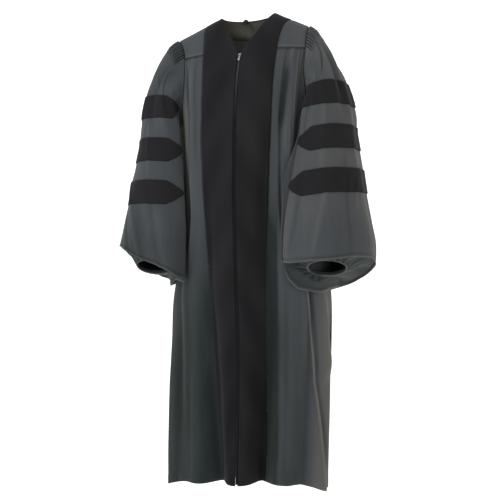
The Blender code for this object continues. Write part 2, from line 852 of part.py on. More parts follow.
def armhole_line(side):
    """Points and normals round the armhole, from the shoulder seam down the front,
    under the arm and up the back."""
    line = []
    for k in range(YOKE_ROWS + 1):
        line.append((True, ARMHOLE_CORNER, mix(SEAM_GAP / YOKE_LENGTH, 1.0, k / YOKE_ROWS)))
    for along in FRONT_ARMHOLE_COLUMNS[1:]:
        line.append((True, mix(ARMHOLE_CORNER, 1.0, along), armhole_level(True, along)))
    for along in BACK_ARMHOLE_COLUMNS[-2:0:-1]:
        line.append((False, mix(ARMHOLE_CORNER, 1.0, along), armhole_level(False, along)))
    for k in range(YOKE_ROWS, 0, -1):
        line.append((False, ARMHOLE_CORNER, k / YOKE_ROWS))
    points = [body_point(front, side, share, level) for front, share, level in line]
    normals = [body_normal(front, side, share, level) for front, share, level in line]
    return points, normals


def hem_height(side, angle):
    angle = (angle + 180.0) % 360.0 - 180.0
    for before, after in zip(SLEEVE_HEM, SLEEVE_HEM[1:]):
        if angle <= after.angle:
            break
    share = (angle - before.angle) / (after.angle - before.angle)
    if side == LEFT:
        return mix(before.left, after.left, share)
    return mix(before.right, after.right, share)


def sleeve_fold(side, angle, z):
    rise = 0.0
    for fold in SLEEVE_FOLDS:
        if fold.side in (0, side) and z < fold.starts:
            grown = ramp(-z, -fold.starts, -fold.full)
            kept = 1.0 - ramp(-z, -fold.fades - 0.08, -fold.fades)
            place = mix(fold.at_top, fold.at_hem, ramp(-z, 0.10, 0.74))
            apart = (angle - place + 180.0) % 360.0 - 180.0
            rise += fold.rise * grown * kept * bump(apart, fold.half_width)
    return rise


def clear_of_body(side, point, extra=0.0):
    """Moves a sleeve point out of the space that the body takes: outwards beside the chest,
    and forwards where the sleeve hangs in front of the hip."""
    half_width, front_y, back_y, side_y, middle_x = smooth_row(BODY_LEVELS, max(point.z, -0.9))
    clear = SLEEVE_CLEAR_OF_BODY[side] + extra
    wide = half_width + clear

    def outwards(place):
        deep = clear + ((side_y - front_y) if place.y < side_y else (back_y - side_y))
        reach = math.hypot((place.x - middle_x) / wide, (place.y - side_y) / deep)
        if reach >= 1.0 or reach < 0.05:
            return place
        x = middle_x + (place.x - middle_x) / reach
        return Vector((x, side_y + (place.y - side_y) / reach, place.z))

    across = (point.x - middle_x) / wide
    if abs(across) >= 1.0:
        return outwards(point)
    limit = side_y - (side_y - front_y + clear) * math.sqrt(1.0 - across * across)
    forwards = Vector((point.x, min(point.y, limit), point.z))
    in_front = IN_FRONT[side] * ramp(-point.z, -IN_FRONT_STARTS, -IN_FRONT_FULL)
    return outwards(outwards(point).lerp(forwards, in_front))


def sleeve_ring(side, angle, z):
    left_x, left_y, right_x, right_y, half_width, half_depth, turn = smooth_row(SLEEVE_RINGS, z)
    middle_x, middle_y = (left_x, left_y) if side == LEFT else (right_x, right_y)
    a, b = math.radians(angle), math.radians(turn)
    rise = sleeve_fold(side, angle, z)
    wide = (half_width + rise) * math.cos(a)
    deep = -(half_depth + rise) * math.sin(a)
    across = wide * math.cos(b) + deep * math.sin(b)
    along = deep * math.cos(b) - wide * math.sin(b)
    return clear_of_body(side, Vector((side * (middle_x + across), middle_y + along, z)))


class Sleeve:
    """One bell sleeve: part is the share of the way round, starting at the shoulder seam."""

    def __init__(self, side):
        self.side = side
        self.points, self.normals = armhole_line(side)

    def start(self, part):
        """The armhole's point and normal. The sleeve's columns meet the armhole's points."""
        column = (part % 1.0) * SLEEVE_COLUMNS
        front_end = HEAD_COLUMNS / 2
        back_start = SLEEVE_COLUMNS - HEAD_COLUMNS / 2
        if column <= front_end:
            station = column / 4
        elif column < back_start:
            station = YOKE_ROWS + (column - front_end) / 2
        else:
            station = len(self.points) - YOKE_ROWS + (column - back_start) / 4
        before = int(station) % len(self.points)
        after = (before + 1) % len(self.points)
        share = station - int(station)
        point = self.points[before].lerp(self.points[after], share)
        return point, self.normals[before].lerp(self.normals[after], share).normalized()

    def angle(self, part, down):
        """Degrees from the outer line. The columns spread evenly as they leave the head."""
        head = HEAD_COLUMNS / SLEEVE_COLUMNS / 2
        signed = (part + 0.5) % 1.0 - 0.5
        if abs(signed) <= head:
            gathered = signed / head * HEAD_ANGLE
        else:
            beyond = (abs(signed) - head) / (0.5 - head)
            gathered = math.copysign(mix(HEAD_ANGLE, 180.0, beyond), signed)
        return mix(gathered, signed * 360.0, ramp(down, 0.05, 0.9))

    def point(self, part, down):
        """down 0 to 1 runs from the armhole to the first ring, and 1 to 2 on to the hem."""
        angle = self.angle(part, min(down, 1.0))
        first = SLEEVE_RINGS[0].z
        if down >= 1.0:
            z = mix(first, hem_height(self.side, angle), down - 1.0)
            return sleeve_ring(self.side, angle, z)
        begin, normal = self.start(part)
        end = sleeve_ring(self.side, angle, first)
        drop = begin.z - first
        top = ramp(drop, 0.05, 0.29)
        head = Vector(
            (
                self.side * SLEEVE_TOP_OUT[self.side],
                (end.y - begin.y) * 0.6,
                -SLEEVE_TOP_DOWN[self.side],
            )
        )
        leaving = (normal * SLEEVE_LOW_OUT).lerp(head, top)
        arriving = Vector(((end.x - begin.x) * 0.15, (end.y - begin.y) * 0.25, -drop * 1.25))
        t = down
        point = (
            begin * (2 * t**3 - 3 * t**2 + 1)
            + leaving * (t**3 - 2 * t**2 + t)
            + end * (3 * t**2 - 2 * t**3)
            + arriving * (t**3 - t**2)
        )
        settled = ramp(t, 0.0, 0.18)
        folded = sleeve_fold(self.side, angle, point.z) * settled * (1.0 - ramp(t, 0.85, 1.0))
        outer = Vector((self.side * math.cos(math.radians(angle)), -math.sin(math.radians(angle)), 0.0))
        point += outer * folded
        pushed = clear_of_body(self.side, point)
        return point.lerp(pushed, ramp(t, 0.12, 0.6))

    def normal(self, part, down):
        if down <= 0.0:
            return self.start(part)[1]
        step = (1.0 if down <= SLEEVE_HEAD_BAND[-1] else 2.0) / SLEEVE_COLUMNS
        low = min(max(down, FIRST_NORMAL), LAST_NORMAL)
        along = self.point(part + step, low) - self.point(part - step, low)
        fall = self.point(part, low + 0.015) - self.point(part, low - 0.015)
        normal = along.cross(fall).normalized()
        angle = math.radians(self.angle(part, min(down, 1.0)))
        outer = Vector((self.side * math.cos(angle), -math.sin(angle), 0.25))
        return normal if normal.dot(outer) > 0.0 else -normal

    def beyond(self, part):
        """The direction in the body's surface that leads away from the panels."""
        normal = self.start(part)[1]
        along = self.start(part + 0.004)[0] - self.start(part - 0.004)[0]
        away = along.cross(normal).normalized()
        return away if away.dot(Vector((self.side, 0.0, 1.0))) > 0.0 else -away

    def inside_edge(self, part):
        """Where the turned-in end starts, on the straight run between the wall's last rows."""
        upper, lower = (
            self.point(part, 1.0 + row) - self.normal(part, 1.0 + row) * RETURN_INSIDE
            for row in SLEEVE_LOW_ROWS[-2:]
        )
        return upper.lerp(lower, RETURN_START)

    def down_to(self, part, z):
        """How far down a column the sleeve reaches height z."""
        low, high = 0.02, 2.0
        for _ in range(30):
            down = (low + high) / 2
            if self.point(part, down).z > z:
                low = down
            else:
                high = down
        return down


def sleeve_wall(sleeve, material):
    side = sleeve.side
    name = "sleeve_left" if side == LEFT else "sleeve_right"
    downs = [0.0, *SLEEVE_HEAD_BAND, *SLEEVE_TOP_ROWS, *[1.0 + r for r in SLEEVE_LOW_ROWS]]
    fine_rows = 1 + len(SLEEVE_HEAD_BAND)
    outer, inner = [], []
    for r, down in enumerate(downs):
        step = 1 if r < fine_rows else 2
        outer_row, inner_row = [], []
        for j in range(0, SLEEVE_COLUMNS, step):
            part = j / SLEEVE_COLUMNS
            point = sleeve.point(part, down)
            normal = sleeve.normal(part, down)
            signed = j if j <= SLEEVE_COLUMNS // 2 else j - SLEEVE_COLUMNS
            lift = 0.0
            if r == 0:
                point = point + sleeve.beyond(part) * SEAM_GAP * 1.5
            elif r < fine_rows and abs(signed) <= HEAD_COLUMNS // 2:
                lift = PLEAT_RISE if signed % 2 == 0 else -PLEAT_RISE
            outer_row.append(leaned(point + normal * lift))
            inner_row.append(leaned(point + normal * (lift - CLOTH)))
        outer.append(outer_row)
        inner.append(inner_row)
    return wall(name, outer, inner, True, material)


def lifted(grid, height):
    """The points of a closed grid, moved up along its normals. The first row goes straight up."""
    count = len(grid[0])
    moved = [[point + Vector((0.0, 0.0, height)) for point in grid[0]]]
    for k in range(1, len(grid)):
        row, before, after = grid[k], grid[k - 1], grid[min(k + 1, len(grid) - 1)]
        normals = []
        for j in range(count):
            along = row[(j + 1) % count] - row[j - 1]
            normals.append(along.cross(after[j] - before[j]).normalized())
        turn = math.copysign(height, sum(normal.z for normal in normals))
        moved.append([point + normal * turn for point, normal in zip(row, normals)])
    return moved


def sleeve_return(sleeve, material):
    """The lower edge turned in and drawn up to the wrist opening."""
    side = sleeve.side
    name = "sleeve_return_left" if side == LEFT else "sleeve_return_right"
    outer = []
    count = SLEEVE_COLUMNS // 2
    middle = WRIST_MIDDLE[side]
    for k in range(RETURN_ROWS + 1):
        share = k / RETURN_ROWS
        row = []
        for j in range(count):
            part = j / count
            angle = math.radians(part * 360.0)
            start = sleeve.inside_edge(part)
            rim = Vector(
                (
                    middle.x + side * WRIST_HALF_WIDTH * math.cos(angle),
                    middle.y - WRIST_HALF_DEPTH * math.sin(angle),
                    middle.z + WRIST_TILT * WRIST_HALF_DEPTH * math.sin(angle),
                )
            )
            point = start.lerp(rim, share)
            swell = math.sin(math.pi * share)
            point.z += swell * (RETURN_DOME + RETURN_PUCKER * math.cos(RETURN_PUCKERS * angle))
            if 0 < k < RETURN_ROWS:
                point = clear_of_body(side, point, RETURN_CLEARER * min(1.0, 2.0 * share))
            row.append(leaned(point))
        outer.append(row)
    return wall(name, outer, lifted(outer, CLOTH), True, material)


def sleeve_bar(sleeve, number, material):
    """A velvet bar that lies round the sleeve on the sleeve's own columns, pointed at both ends."""
    side = sleeve.side
    name = f"bar_{'left' if side == LEFT else 'right'}_{number + 1}"
    bar = BARS[number]
    column_angle = 720.0 / SLEEVE_COLUMNS
    front_column = bar.left_column if side == LEFT else bar.right_column
    angles = [k * column_angle for k in range(BAR_BACK_COLUMN, front_column + 1)]
    outer, inner = [], []
    for share in (-1.0, -0.5, 0.0, 0.5, 1.0):
        outer_row, inner_row = [], []
        for angle in angles:
            to_tip = min(1.0, min(angle - angles[0], angles[-1] - angle) / BAR_POINT)
            half = mix(BAR_TIP_HALF, BAR_HALF_HEIGHT, to_tip**BAR_POINT_ROUNDING)
            middle = bar.z - BAR_DROP * ramp(angle, 40.0, angles[-1])
            part = angle / 360.0
            down = sleeve.down_to(part, middle - share * half)
            point = sleeve.point(part, down)
            normal = sleeve.normal(part, down)
            inner_row.append(leaned(point + normal * BAR_LIFT[side]))
            outer_row.append(leaned(point + normal * (BAR_LIFT[side] + BAR_WALL)))
        outer.append(outer_row)
        inner.append(inner_row)
    return wall(name, outer, inner, False, material)


# Zip.


def box(bm, low, high):
    made = bmesh.ops.create_cube(bm, size=1.0)["verts"]
    low, high = Vector(low), Vector(high)
    for vert in made:
        vert.co = Vector((vert.co[i] * (high[i] - low[i]) + (high[i] + low[i]) / 2 for i in range(3)))
    return made


def zip_chain(material):
    """The closed row of teeth between the two velvet edges."""
    levels = [-NECK_DROP - CHAIN_BELOW_V, *BODY_ROWS[1:], -FRONT_HEM + CHAIN_ABOVE_HEM]
    outer, inner = [], []
    for z in levels:
        point = ring_point(True, LEFT, 0.0, z)
        normal = body_normal(True, LEFT, 0.0, z)
        normal.x = 0.0
        normal.normalize()
        row_out, row_in = [], []
        for across in (-CHAIN_HALF_WIDTH, CHAIN_HALF_WIDTH):
            edge = Vector((point.x + across, point.y, point.z))
            row_out.append(leaned(edge + normal * CHAIN_PROUD))
            row_in.append(leaned(edge + normal * (CHAIN_PROUD - CHAIN_DEPTH)))
        outer.append(row_out)
        inner.append(row_in)
    return wall("zip_chain", outer, inner, False, material)


def slider_frame():
    """Where the slider sits: the chain's top, with the direction out of the cloth and down it."""
    start = -NECK_DROP - CHAIN_BELOW_V
    top = ring_point(True, LEFT, 0.0, start)
    below = ring_point(True, LEFT, 0.0, start - PULL_LENGTH)
    down = (below - top).normalized()
    out = Vector((0.0, down.z, -down.y)).normalized()
    if out.y > 0:
        out = -out
    return top + out * (CHAIN_PROUD - CHAIN_DEPTH / 2), down, out


def place_on_slider(made):
    """Turns a piece that was made along the slider's own axes into its place."""
    top, down, out = slider_frame()
    made.rotation_euler = (math.atan2(down.y, -down.z), 0.0, 0.0)
    made.location = leaned(top)


def joined(name, boxes, material, more=()):
    """One closed body from overlapping boxes, and from the other meshes in more."""
    objects = []
    for k, (low, high) in enumerate(boxes):
        bm = bmesh.new()
        box(bm, low, high)
        objects.append(add_object(name if k == 0 else f"{name}_add", bm, material))
    objects += more
    whole = objects[0]
    for k, added in enumerate(objects[1:]):
        join = whole.modifiers.new(f"join {k}", "BOOLEAN")
        join.operation = "UNION"
        join.solver = "EXACT"
        join.object = added
        added.hide_render = True
        added.display_type = "WIRE"
    return objects


def zip_slider(material):
    """Front and back plates joined over the chain's end, with the bridge for the pull."""
    half = SLIDER_MOUTH / 2
    front = -half - SLIDER_PLATE
    bridge = front - BRIDGE_RISE
    wide, narrow = SLIDER_HALF_WIDTH, BRIDGE_HALF_WIDTH
    boxes = (
        ((-wide, front, SLIDER_FOOT), (wide, -half, SLIDER_TOP)),
        ((-wide, half, SLIDER_FOOT), (wide, half + SLIDER_PLATE, SLIDER_TOP)),
        ((-WEDGE_HALF_WIDTH, -half - BITE, WEDGE_FOOT), (WEDGE_HALF_WIDTH, half + BITE, WEDGE_TOP)),
        ((-narrow, bridge, BRIDGE_FOOT), (narrow, bridge + BRIDGE_THICK, BRIDGE_TOP)),
        ((-narrow, bridge, BRIDGE_TOP - BRIDGE_THICK), (narrow, front + BITE, BRIDGE_TOP)),
        ((-narrow, bridge, BRIDGE_FOOT), (narrow, front + BITE, BRIDGE_FOOT + BRIDGE_THICK)),
    )
    for piece in joined("zip_slider", boxes, material):
        place_on_slider(piece)


def zip_pull(material):
    """The pull tab: a round pin through the bridge, two arms and a flat tab."""
    half, thick = PULL_HALF_WIDTH, PULL_THICK / 2
    arm = BRIDGE_HALF_WIDTH + PULL_SIDE_GAP
    boxes = (
        ((-half, -thick, -PULL_LENGTH), (half, thick, -PULL_EYE)),
        ((-half, -thick, -PULL_EYE - BITE), (-arm, thick, thick)),
        ((arm, -thick, -PULL_EYE - BITE), (half, thick, thick)),
    )
    pin = bmesh.new()
    made = bmesh.ops.create_cone(
        pin,
        cap_ends=True,
        segments=10,
        radius1=PIN_RADIUS,
        radius2=PIN_RADIUS,
        depth=2 * (arm + BITE),
    )
    for vert in made["verts"]:
        vert.co = Vector((vert.co.z, vert.co.x, vert.co.y))
    bmesh.ops.recalc_face_normals(pin, faces=pin.faces)
    pin_y = -SLIDER_MOUTH / 2 - SLIDER_PLATE - PIN_OUT
    for piece in joined("zip_pull", boxes, material, [add_object("zip_pin", pin, material)]):
        place_on_slider(piece)
        offset = Vector((0.0, pin_y, PIN_Z))
        offset.rotate(piece.rotation_euler)
        piece.location = piece.location + offset


def hanging_loop(material):
    """The small cloth loop inside the middle of the back neck."""
    neck_edge = nape_levels()[0]
    top = yoke_point(False, RIGHT, 0.0, neck_edge)
    normal = body_normal(False, RIGHT, 0.0, neck_edge)
    top.x = LOOP_X
    behind = top - normal * (VELVET + 2 * SEAM_GAP)
    reach, rise = LOOP_WIDTH / 2, LOOP_RISE + LOOP_ROOT
    outer, inner = [], []
    for k in range(LOOP_STEPS + 1):
        across = math.cos(math.pi * k / LOOP_STEPS)
        up = math.sin(math.pi * k / LOOP_STEPS)
        row_out, row_in = [], []
        for depth in (0.0, LOOP_DEPTH):
            root = Vector((behind.x, behind.y - LOOP_GAP - depth, behind.z - LOOP_ROOT))
            row_out.append(leaned(root + Vector((reach * across, 0.0, rise * up))))
            row_in.append(leaned(root + Vector(((reach - CLOTH) * across, 0.0, (rise - CLOTH) * up))))
        outer.append(row_out)
        inner.append(row_in)
    return wall("hanging_loop", outer, inner, False, material)


def make_material(name, colour, roughness, metallic=0.0):
    material = bpy.data.materials.new(name)
    material.use_nodes = True
    shader = material.node_tree.nodes["Principled BSDF"]
    shader.inputs["Base Color"].default_value = (*colour, 1.0)
    shader.inputs["Roughness"].default_value = roughness
    shader.inputs["Metallic"].default_value = metallic
    return material


def main():
    for obj in list(bpy.data.objects):
        bpy.data.objects.remove(obj)
    grey = make_material("grey_cloth", GREY, 0.75)
    velvet = make_material("black_velvet", BLACK_VELVET, 0.9)
    chain = make_material("zip_teeth", ZIP_GREY, 0.5)
    steel = make_material("zip_metal", STEEL, 0.3, 1.0)
    for side in (LEFT, RIGHT):
        front_panel(side, grey)
        front_yoke(side, grey)
        velvet_panel(side, velvet)
        sleeve = Sleeve(side)
        sleeve_wall(sleeve, grey)
        sleeve_return(sleeve, grey)
        for number in range(len(BARS)):
            sleeve_bar(sleeve, number, velvet)
    back_yoke(grey)
    back_panel(grey)
    zip_chain(chain)
    zip_slider(steel)
    zip_pull(steel)
    hanging_loop(grey)


main()
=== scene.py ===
# %% [markdown]
# A doctor's graduation gown, dressed for its picture.
#
# The gown is dark grey cloth with two broad facings of black velvet down its front and round its
# neck, bell sleeves with three pointed velvet bars each, and a zip from the neck's V to the hem.
# The solids of the part give the cut. This script makes the cloth that is seen: thin shells on
# the same surfaces, with the pleats, creases, seams, pile and zip teeth that the solids leave out.
# A cell is run after the ones above it, and each new helper comes just before its first use.

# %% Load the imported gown
import functools
import math
from typing import NamedTuple

import bmesh
import bpy
from mathutils import Matrix, Vector


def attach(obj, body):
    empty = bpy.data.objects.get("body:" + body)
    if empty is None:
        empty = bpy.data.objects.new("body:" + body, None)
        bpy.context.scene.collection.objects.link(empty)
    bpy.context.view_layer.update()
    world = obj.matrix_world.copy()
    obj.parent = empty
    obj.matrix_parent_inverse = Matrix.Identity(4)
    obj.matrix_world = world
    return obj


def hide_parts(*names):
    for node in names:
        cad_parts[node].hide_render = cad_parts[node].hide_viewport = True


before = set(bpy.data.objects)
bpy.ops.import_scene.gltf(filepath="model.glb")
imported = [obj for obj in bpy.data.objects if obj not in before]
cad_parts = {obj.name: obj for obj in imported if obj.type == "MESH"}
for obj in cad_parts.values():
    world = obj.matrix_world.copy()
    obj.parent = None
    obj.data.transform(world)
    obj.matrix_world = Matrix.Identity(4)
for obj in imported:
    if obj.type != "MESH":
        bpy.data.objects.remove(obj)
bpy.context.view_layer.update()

# %% [markdown]
# Sizes first. A tailor works from a few lengths: how far down the yoke seams lie, how wide the
# velvet is, where the armhole starts. Every piece below is worked out from these, so changing one
# of them moves each seam that depends on it. They are the sizes of the solids, in metres.

# %% Sizes of the cut
# The wearer's sides, as the sign of x. A fold under BOTH is on either sleeve.
LEFT, RIGHT, BOTH = 1, -1, 0
SIDE_NAME = {LEFT: "left", RIGHT: "right"}
CLOTH = 0.0015
VELVET = 0.0022
VELVET_PROUD = 0.0007
SEAM_GAP = 0.0003
ZIP_HALF_GAP = 0.003
FRONT_YOKE_DROP = 0.120
BACK_YOKE_DROP = 0.150
NECK_DROP = 0.128
NECK_HALF_WIDTH = 0.078
SHOULDER_TIP = {LEFT: 0.177, RIGHT: 0.210}
RIDGE_Y = 0.004
VELVET_AT_RIDGE = 0.130
UNDERARM = 0.305
FRONT_HEM = 1.326
SIDE_HEM = {LEFT: 1.362, RIGHT: 1.350}
BACK_HEM = 1.378
NAPE_DROP = 0.010
NAPE_BAND = 0.060
# Fall of each shoulder seam for each metre that it runs outwards.
SHOULDER_SLOPE = {LEFT: 0.50, RIGHT: 0.41}
# The wearer's right shoulder is lower, and everything that hangs from it.
SHOULDER_LEAN = 0.040
# Share of the way from the middle of a sheet to its side where the armhole meets the yoke seam.
ARMHOLE_CORNER = 0.66
# The same for the velvet's outer edge and the neck point on the shoulder seam.
VELVET_RIDGE_SHARE = 0.44
NECK_RIDGE_SHARE = VELVET_RIDGE_SHARE * NECK_HALF_WIDTH / VELVET_AT_RIDGE
# Lengths from the shoulder seam to the yoke seam, and from the middle to the side, for turning
# a gap into a share of the way.
YOKE_LENGTH = 0.16
SIDE_LENGTH = 0.28
# The velvet's outer edge flares out above this height, to meet the shoulder seam.
FLARE_STARTS = -0.20
FLARE_SHARE = {LEFT: 0.000, RIGHT: 0.012}
print("neck point to front hem:", round(FRONT_HEM * 1000), "mm")

# %% [markdown]
# The body of the gown is one surface. It is given by a short table of outlines, each half an
# ellipse in front and half behind, and a smooth curve runs from one height to the next. A table
# like this could be turned as one lathe shape, but cloth isn't round: the front is flat across
# the chest and the back falls away, so each row has its own depths.

# %% The body's outline from chest to hem
def ramp(value, start, end):
    """0 at start, 1 at end, smooth between."""
    share = min(1.0, max(0.0, (value - start) / (end - start)))
    return share * share * (3.0 - 2.0 * share)


def mix(a, b, share):
    return a + (b - a) * share


def bump(distance, half_width):
    """A bell's curve: 1 in its middle, nearly 0 from twice the half width on."""
    return math.exp(-((distance / half_width) ** 2))


def hermite(start, leaving, end, arriving, t):
    """A curve from start (t 0) to end (t 1), with its direction given at both."""
    return (
        start * (2 * t**3 - 3 * t**2 + 1)
        + leaving * (t**3 - 2 * t**2 + t)
        + end * (3 * t**2 - 2 * t**3)
        + arriving * (t**3 - t**2)
    )


class Level(NamedTuple):
    """The body's outline at one height."""

    z: float
    half_width: float
    front_y: float
    back_y: float
    side_y: float
    middle_x: float


BODY_LEVELS = (
    #     z      half_width front_y back_y side_y middle_x
    Level(-0.120, 0.204, -0.092, 0.086, -0.010, 0.000),
    Level(-0.200, 0.198, -0.130, 0.104, -0.006, 0.000),
    Level(-0.310, 0.190, -0.152, 0.114, 0.000, 0.000),
    Level(-0.450, 0.188, -0.166, 0.124, 0.006, 0.001),
    Level(-0.600, 0.192, -0.166, 0.138, 0.014, 0.003),
    Level(-0.780, 0.228, -0.154, 0.160, 0.036, 0.004),
    Level(-0.940, 0.233, -0.128, 0.178, 0.036, 0.003),
    Level(-1.120, 0.232, -0.120, 0.190, 0.020, -0.001),
    Level(-1.390, 0.229, -0.118, 0.198, 0.000, -0.007),
)


@functools.cache
def smooth_row(table, z):
    """The table's columns at height z, on a smooth curve through its rows."""
    for k in range(len(table) - 2):
        if z >= table[k + 1].z:
            break
    else:
        k = len(table) - 2
    before = table[max(k - 1, 0)]
    here, after = table[k], table[k + 1]
    beyond = table[min(k + 2, len(table) - 1)]
    t = min(1.0, max(0.0, (z - here.z) / (after.z - here.z)))
    span = after.z - here.z
    values = []
    for column in range(1, len(here)):
        start_slope = (after[column] - before[column]) / (after.z - before.z) * span
        end_slope = (beyond[column] - here[column]) / (beyond.z - here.z) * span
        values.append(hermite(here[column], start_slope, after[column], end_slope, t))
    return values


print("outline at the chest:", [round(value, 3) for value in smooth_row(BODY_LEVELS, -0.3)])

# %% [markdown]
# Cloth that hangs from a yoke falls in folds. The big ones are part of the cut: they start at the
# yoke seam, lean outwards and deepen towards the hem. Each is one row: where it starts and ends
# as a share of the way to the side seam, how wide it is and how far it stands out.

# %% Folds of the fronts and of the back
class Fold(NamedTuple):
    """A soft ridge (rise above 0) or trough that runs down a front of the gown."""

    at_top: float
    at_hem: float
    half_width: float
    rise: float
    starts: float
    full: float
    fades: float


# at_top and at_hem are shares from the front's middle (0) to its side seam (1).
BODY_FOLDS = {
    LEFT: (
        #    at_top at_hem width  rise    starts full   fades
        Fold(0.365, 0.185, 0.085, -0.068, -0.26, -1.36, -9.0),
        Fold(0.510, 0.300, 0.050, -0.011, -0.13, -0.20, -0.40),
        Fold(0.590, 0.420, 0.060, 0.009, -0.13, -0.30, -9.0),
        Fold(0.670, 0.560, 0.040, -0.007, -0.13, -0.20, -9.0),
        Fold(0.480, 0.960, 0.070, 0.012, -0.70, -0.90, -9.0),
        Fold(0.660, 1.140, 0.080, -0.016, -0.76, -1.00, -9.0),
    ),
    RIGHT: (
        #    at_top at_hem width  rise    starts full   fades
        Fold(0.365, 0.185, 0.085, -0.064, -0.36, -1.36, -9.0),
        Fold(0.480, 0.480, 0.060, 0.006, -0.13, -0.22, -0.60),
        Fold(0.620, 0.640, 0.060, -0.008, -0.13, -0.24, -9.0),
        Fold(0.780, 0.520, 0.090, -0.010, -0.80, -1.15, -9.0),
        Fold(0.820, 0.760, 0.090, 0.009, -0.76, -1.05, -9.0),
    ),
}


class BackFold(NamedTuple):
    """One of the deep hanging folds of the back, from the wearer's right (-1) to left (1)."""

    place: float
    half_width: float
    rise: float
    starts: float


BACK_FOLDS = (
    #        place  width  rise   starts
    BackFold(-0.86, 0.055, 0.016, -0.60),
    BackFold(-0.69, 0.060, 0.024, -0.24),
    BackFold(-0.52, 0.052, 0.021, -0.20),
    BackFold(-0.36, 0.056, 0.030, -0.18),
    BackFold(-0.19, 0.050, 0.023, -0.20),
    BackFold(-0.03, 0.058, 0.032, -0.18),
    BackFold(0.14, 0.052, 0.024, -0.22),
    BackFold(0.31, 0.058, 0.030, -0.18),
    BackFold(0.48, 0.050, 0.022, -0.20),
    BackFold(0.64, 0.060, 0.026, -0.24),
    BackFold(0.83, 0.060, 0.018, -0.55),
)
BACK_FOLD_HOLLOW = 0.010
# A front's folds lose this share of their height beside the side seam.
CALMED, CALM_STARTS = 0.6, 0.86
# Height of the cartridge pleats, and how far down they are held below the yoke.
PLEAT_RISE = 0.0026
BACK_PLEAT_BAND = 0.034


def front_fold(side, share, z):
    """How far the front cloth stands out of the plain outline."""
    rise = 0.0
    down = (z + FRONT_YOKE_DROP) / (FRONT_YOKE_DROP - FRONT_HEM)
    for fold in BODY_FOLDS[side]:
        if z < fold.starts:
            grown = min(1.0, (fold.starts - z) / (fold.starts - fold.full))
            kept = 1.0 - ramp(-z, -fold.fades - 0.12, -fold.fades)
            place = mix(fold.at_top, fold.at_hem, down)
            rise += fold.rise * grown * kept * bump(share - place, fold.half_width)
    return rise * (1.0 - CALMED * ramp(share, CALM_STARTS, 1.0))


def back_fold(across, z):
    """How far the back cloth stands out, across running from -1 to 1 between the side seams."""
    rise = 0.0
    for fold in BACK_FOLDS:
        if z < fold.starts:
            grown = min(1.0, (fold.starts - z) / (fold.starts + BACK_HEM)) ** 0.8
            rise += fold.rise * grown * bump(across - fold.place, fold.half_width)
    hollow = BACK_FOLD_HOLLOW * min(1.0, max(0.0, -z - BACK_YOKE_DROP) / 0.9)
    return (rise - hollow) * (1.0 - ramp(abs(across), 0.90, 1.0))


def ring_point(front, side, share, z):
    """A point of the body at height z, share of the way from the middle to the side seam."""
    half_width, front_y, back_y, side_y, middle_x = smooth_row(BODY_LEVELS, z)
    angle = share * math.pi / 2
    depth = (side_y - front_y) if front else (back_y - side_y)
    facing = -1.0 if front else 1.0
    rise = front_fold(side, share, z) if front else back_fold(side * share, z)
    outward = Vector((math.sin(angle) / half_width, math.cos(angle) / depth)).normalized()
    across = half_width * math.sin(angle) + rise * outward.x
    along = depth * math.cos(angle) + rise * outward.y
    return Vector((middle_x + side * across, side_y + facing * along, z))


print("folds:", sum(map(len, BODY_FOLDS.values())), "in front,", len(BACK_FOLDS), "behind")

# %% [markdown]
# Above the chest the cloth turns over the shoulder. From the yoke seam a curve is drawn up to the
# shoulder seam with its slope given at both ends, a Hermite curve, because that is how a yoke
# lies: steep on the chest, nearly level at the top.

# %% The yokes and the shoulder line
# How strongly the yoke leaves the shoulder seam, forwards and down, and arrives at its own.
YOKE_FORWARDS, YOKE_DOWN, YOKE_ARRIVES = 1.7, 0.30, 1.25


def ridge_point(side, share):
    """A point of the shoulder seam, share of the way out."""
    if share <= VELVET_RIDGE_SHARE:
        across = VELVET_AT_RIDGE * share / VELVET_RIDGE_SHARE
    else:
        beyond = (share - VELVET_RIDGE_SHARE) / (ARMHOLE_CORNER - VELVET_RIDGE_SHARE)
        across = mix(VELVET_AT_RIDGE, SHOULDER_TIP[side], beyond)
    fall = SHOULDER_SLOPE[side] * max(0.0, across - NECK_HALF_WIDTH)
    return Vector((side * across, RIDGE_Y, -fall))


def yoke_point(front, side, share, down):
    """A point between the shoulder seam (down 0) and the yoke seam (down 1)."""
    seam = -FRONT_YOKE_DROP if front else -BACK_YOKE_DROP
    start = ridge_point(side, share)
    end = ring_point(front, side, share, seam)
    step = 0.01
    fall = (ring_point(front, side, share, seam - step) - end) / step
    way = end - start
    leaving = Vector((way.x, way.y * YOKE_FORWARDS, way.z * YOKE_DOWN))
    arriving = fall * (-way.z) * YOKE_ARRIVES
    return hermite(start, leaving, end, arriving, down)


def body_point(front, side, share, level):
    """level 0 to 1 runs down the yoke, and below 0 it is a height in metres."""
    if level < 0.0:
        return ring_point(front, side, share, level)
    return yoke_point(front, side, share, level)


def leaned(point):
    """Lets the wearer's right side hang lower."""
    return Vector((point.x, point.y, point.z + SHOULDER_LEAN * point.x))


print("shoulder tip:", [round(value, 3) for value in leaned(ridge_point(LEFT, ARMHOLE_CORNER))])

# %% [markdown]
# Seam lines lie on that surface. The velvet has its width down the front from a small table and
# widens to the shoulder, the V of the neck is straight, and the armhole is a quarter of an oval.

# %% Seam lines: velvet edge, neck, armhole and hem
class VelvetRow(NamedTuple):
    """The velvet facings' widths at one height, on the wearer's left and right."""

    z: float
    left: float
    right: float


VELVET_ROWS = (
    #         z       left   right
    VelvetRow(-0.200, 0.099, 0.106),
    VelvetRow(-0.500, 0.097, 0.104),
    VelvetRow(-0.700, 0.093, 0.099),
    VelvetRow(-0.900, 0.091, 0.099),
    VelvetRow(-1.080, 0.098, 0.094),
    VelvetRow(-1.340, 0.112, 0.085),
)


def velvet_width(side, z):
    left, right = smooth_row(VELVET_ROWS, z)
    return left if side == LEFT else right


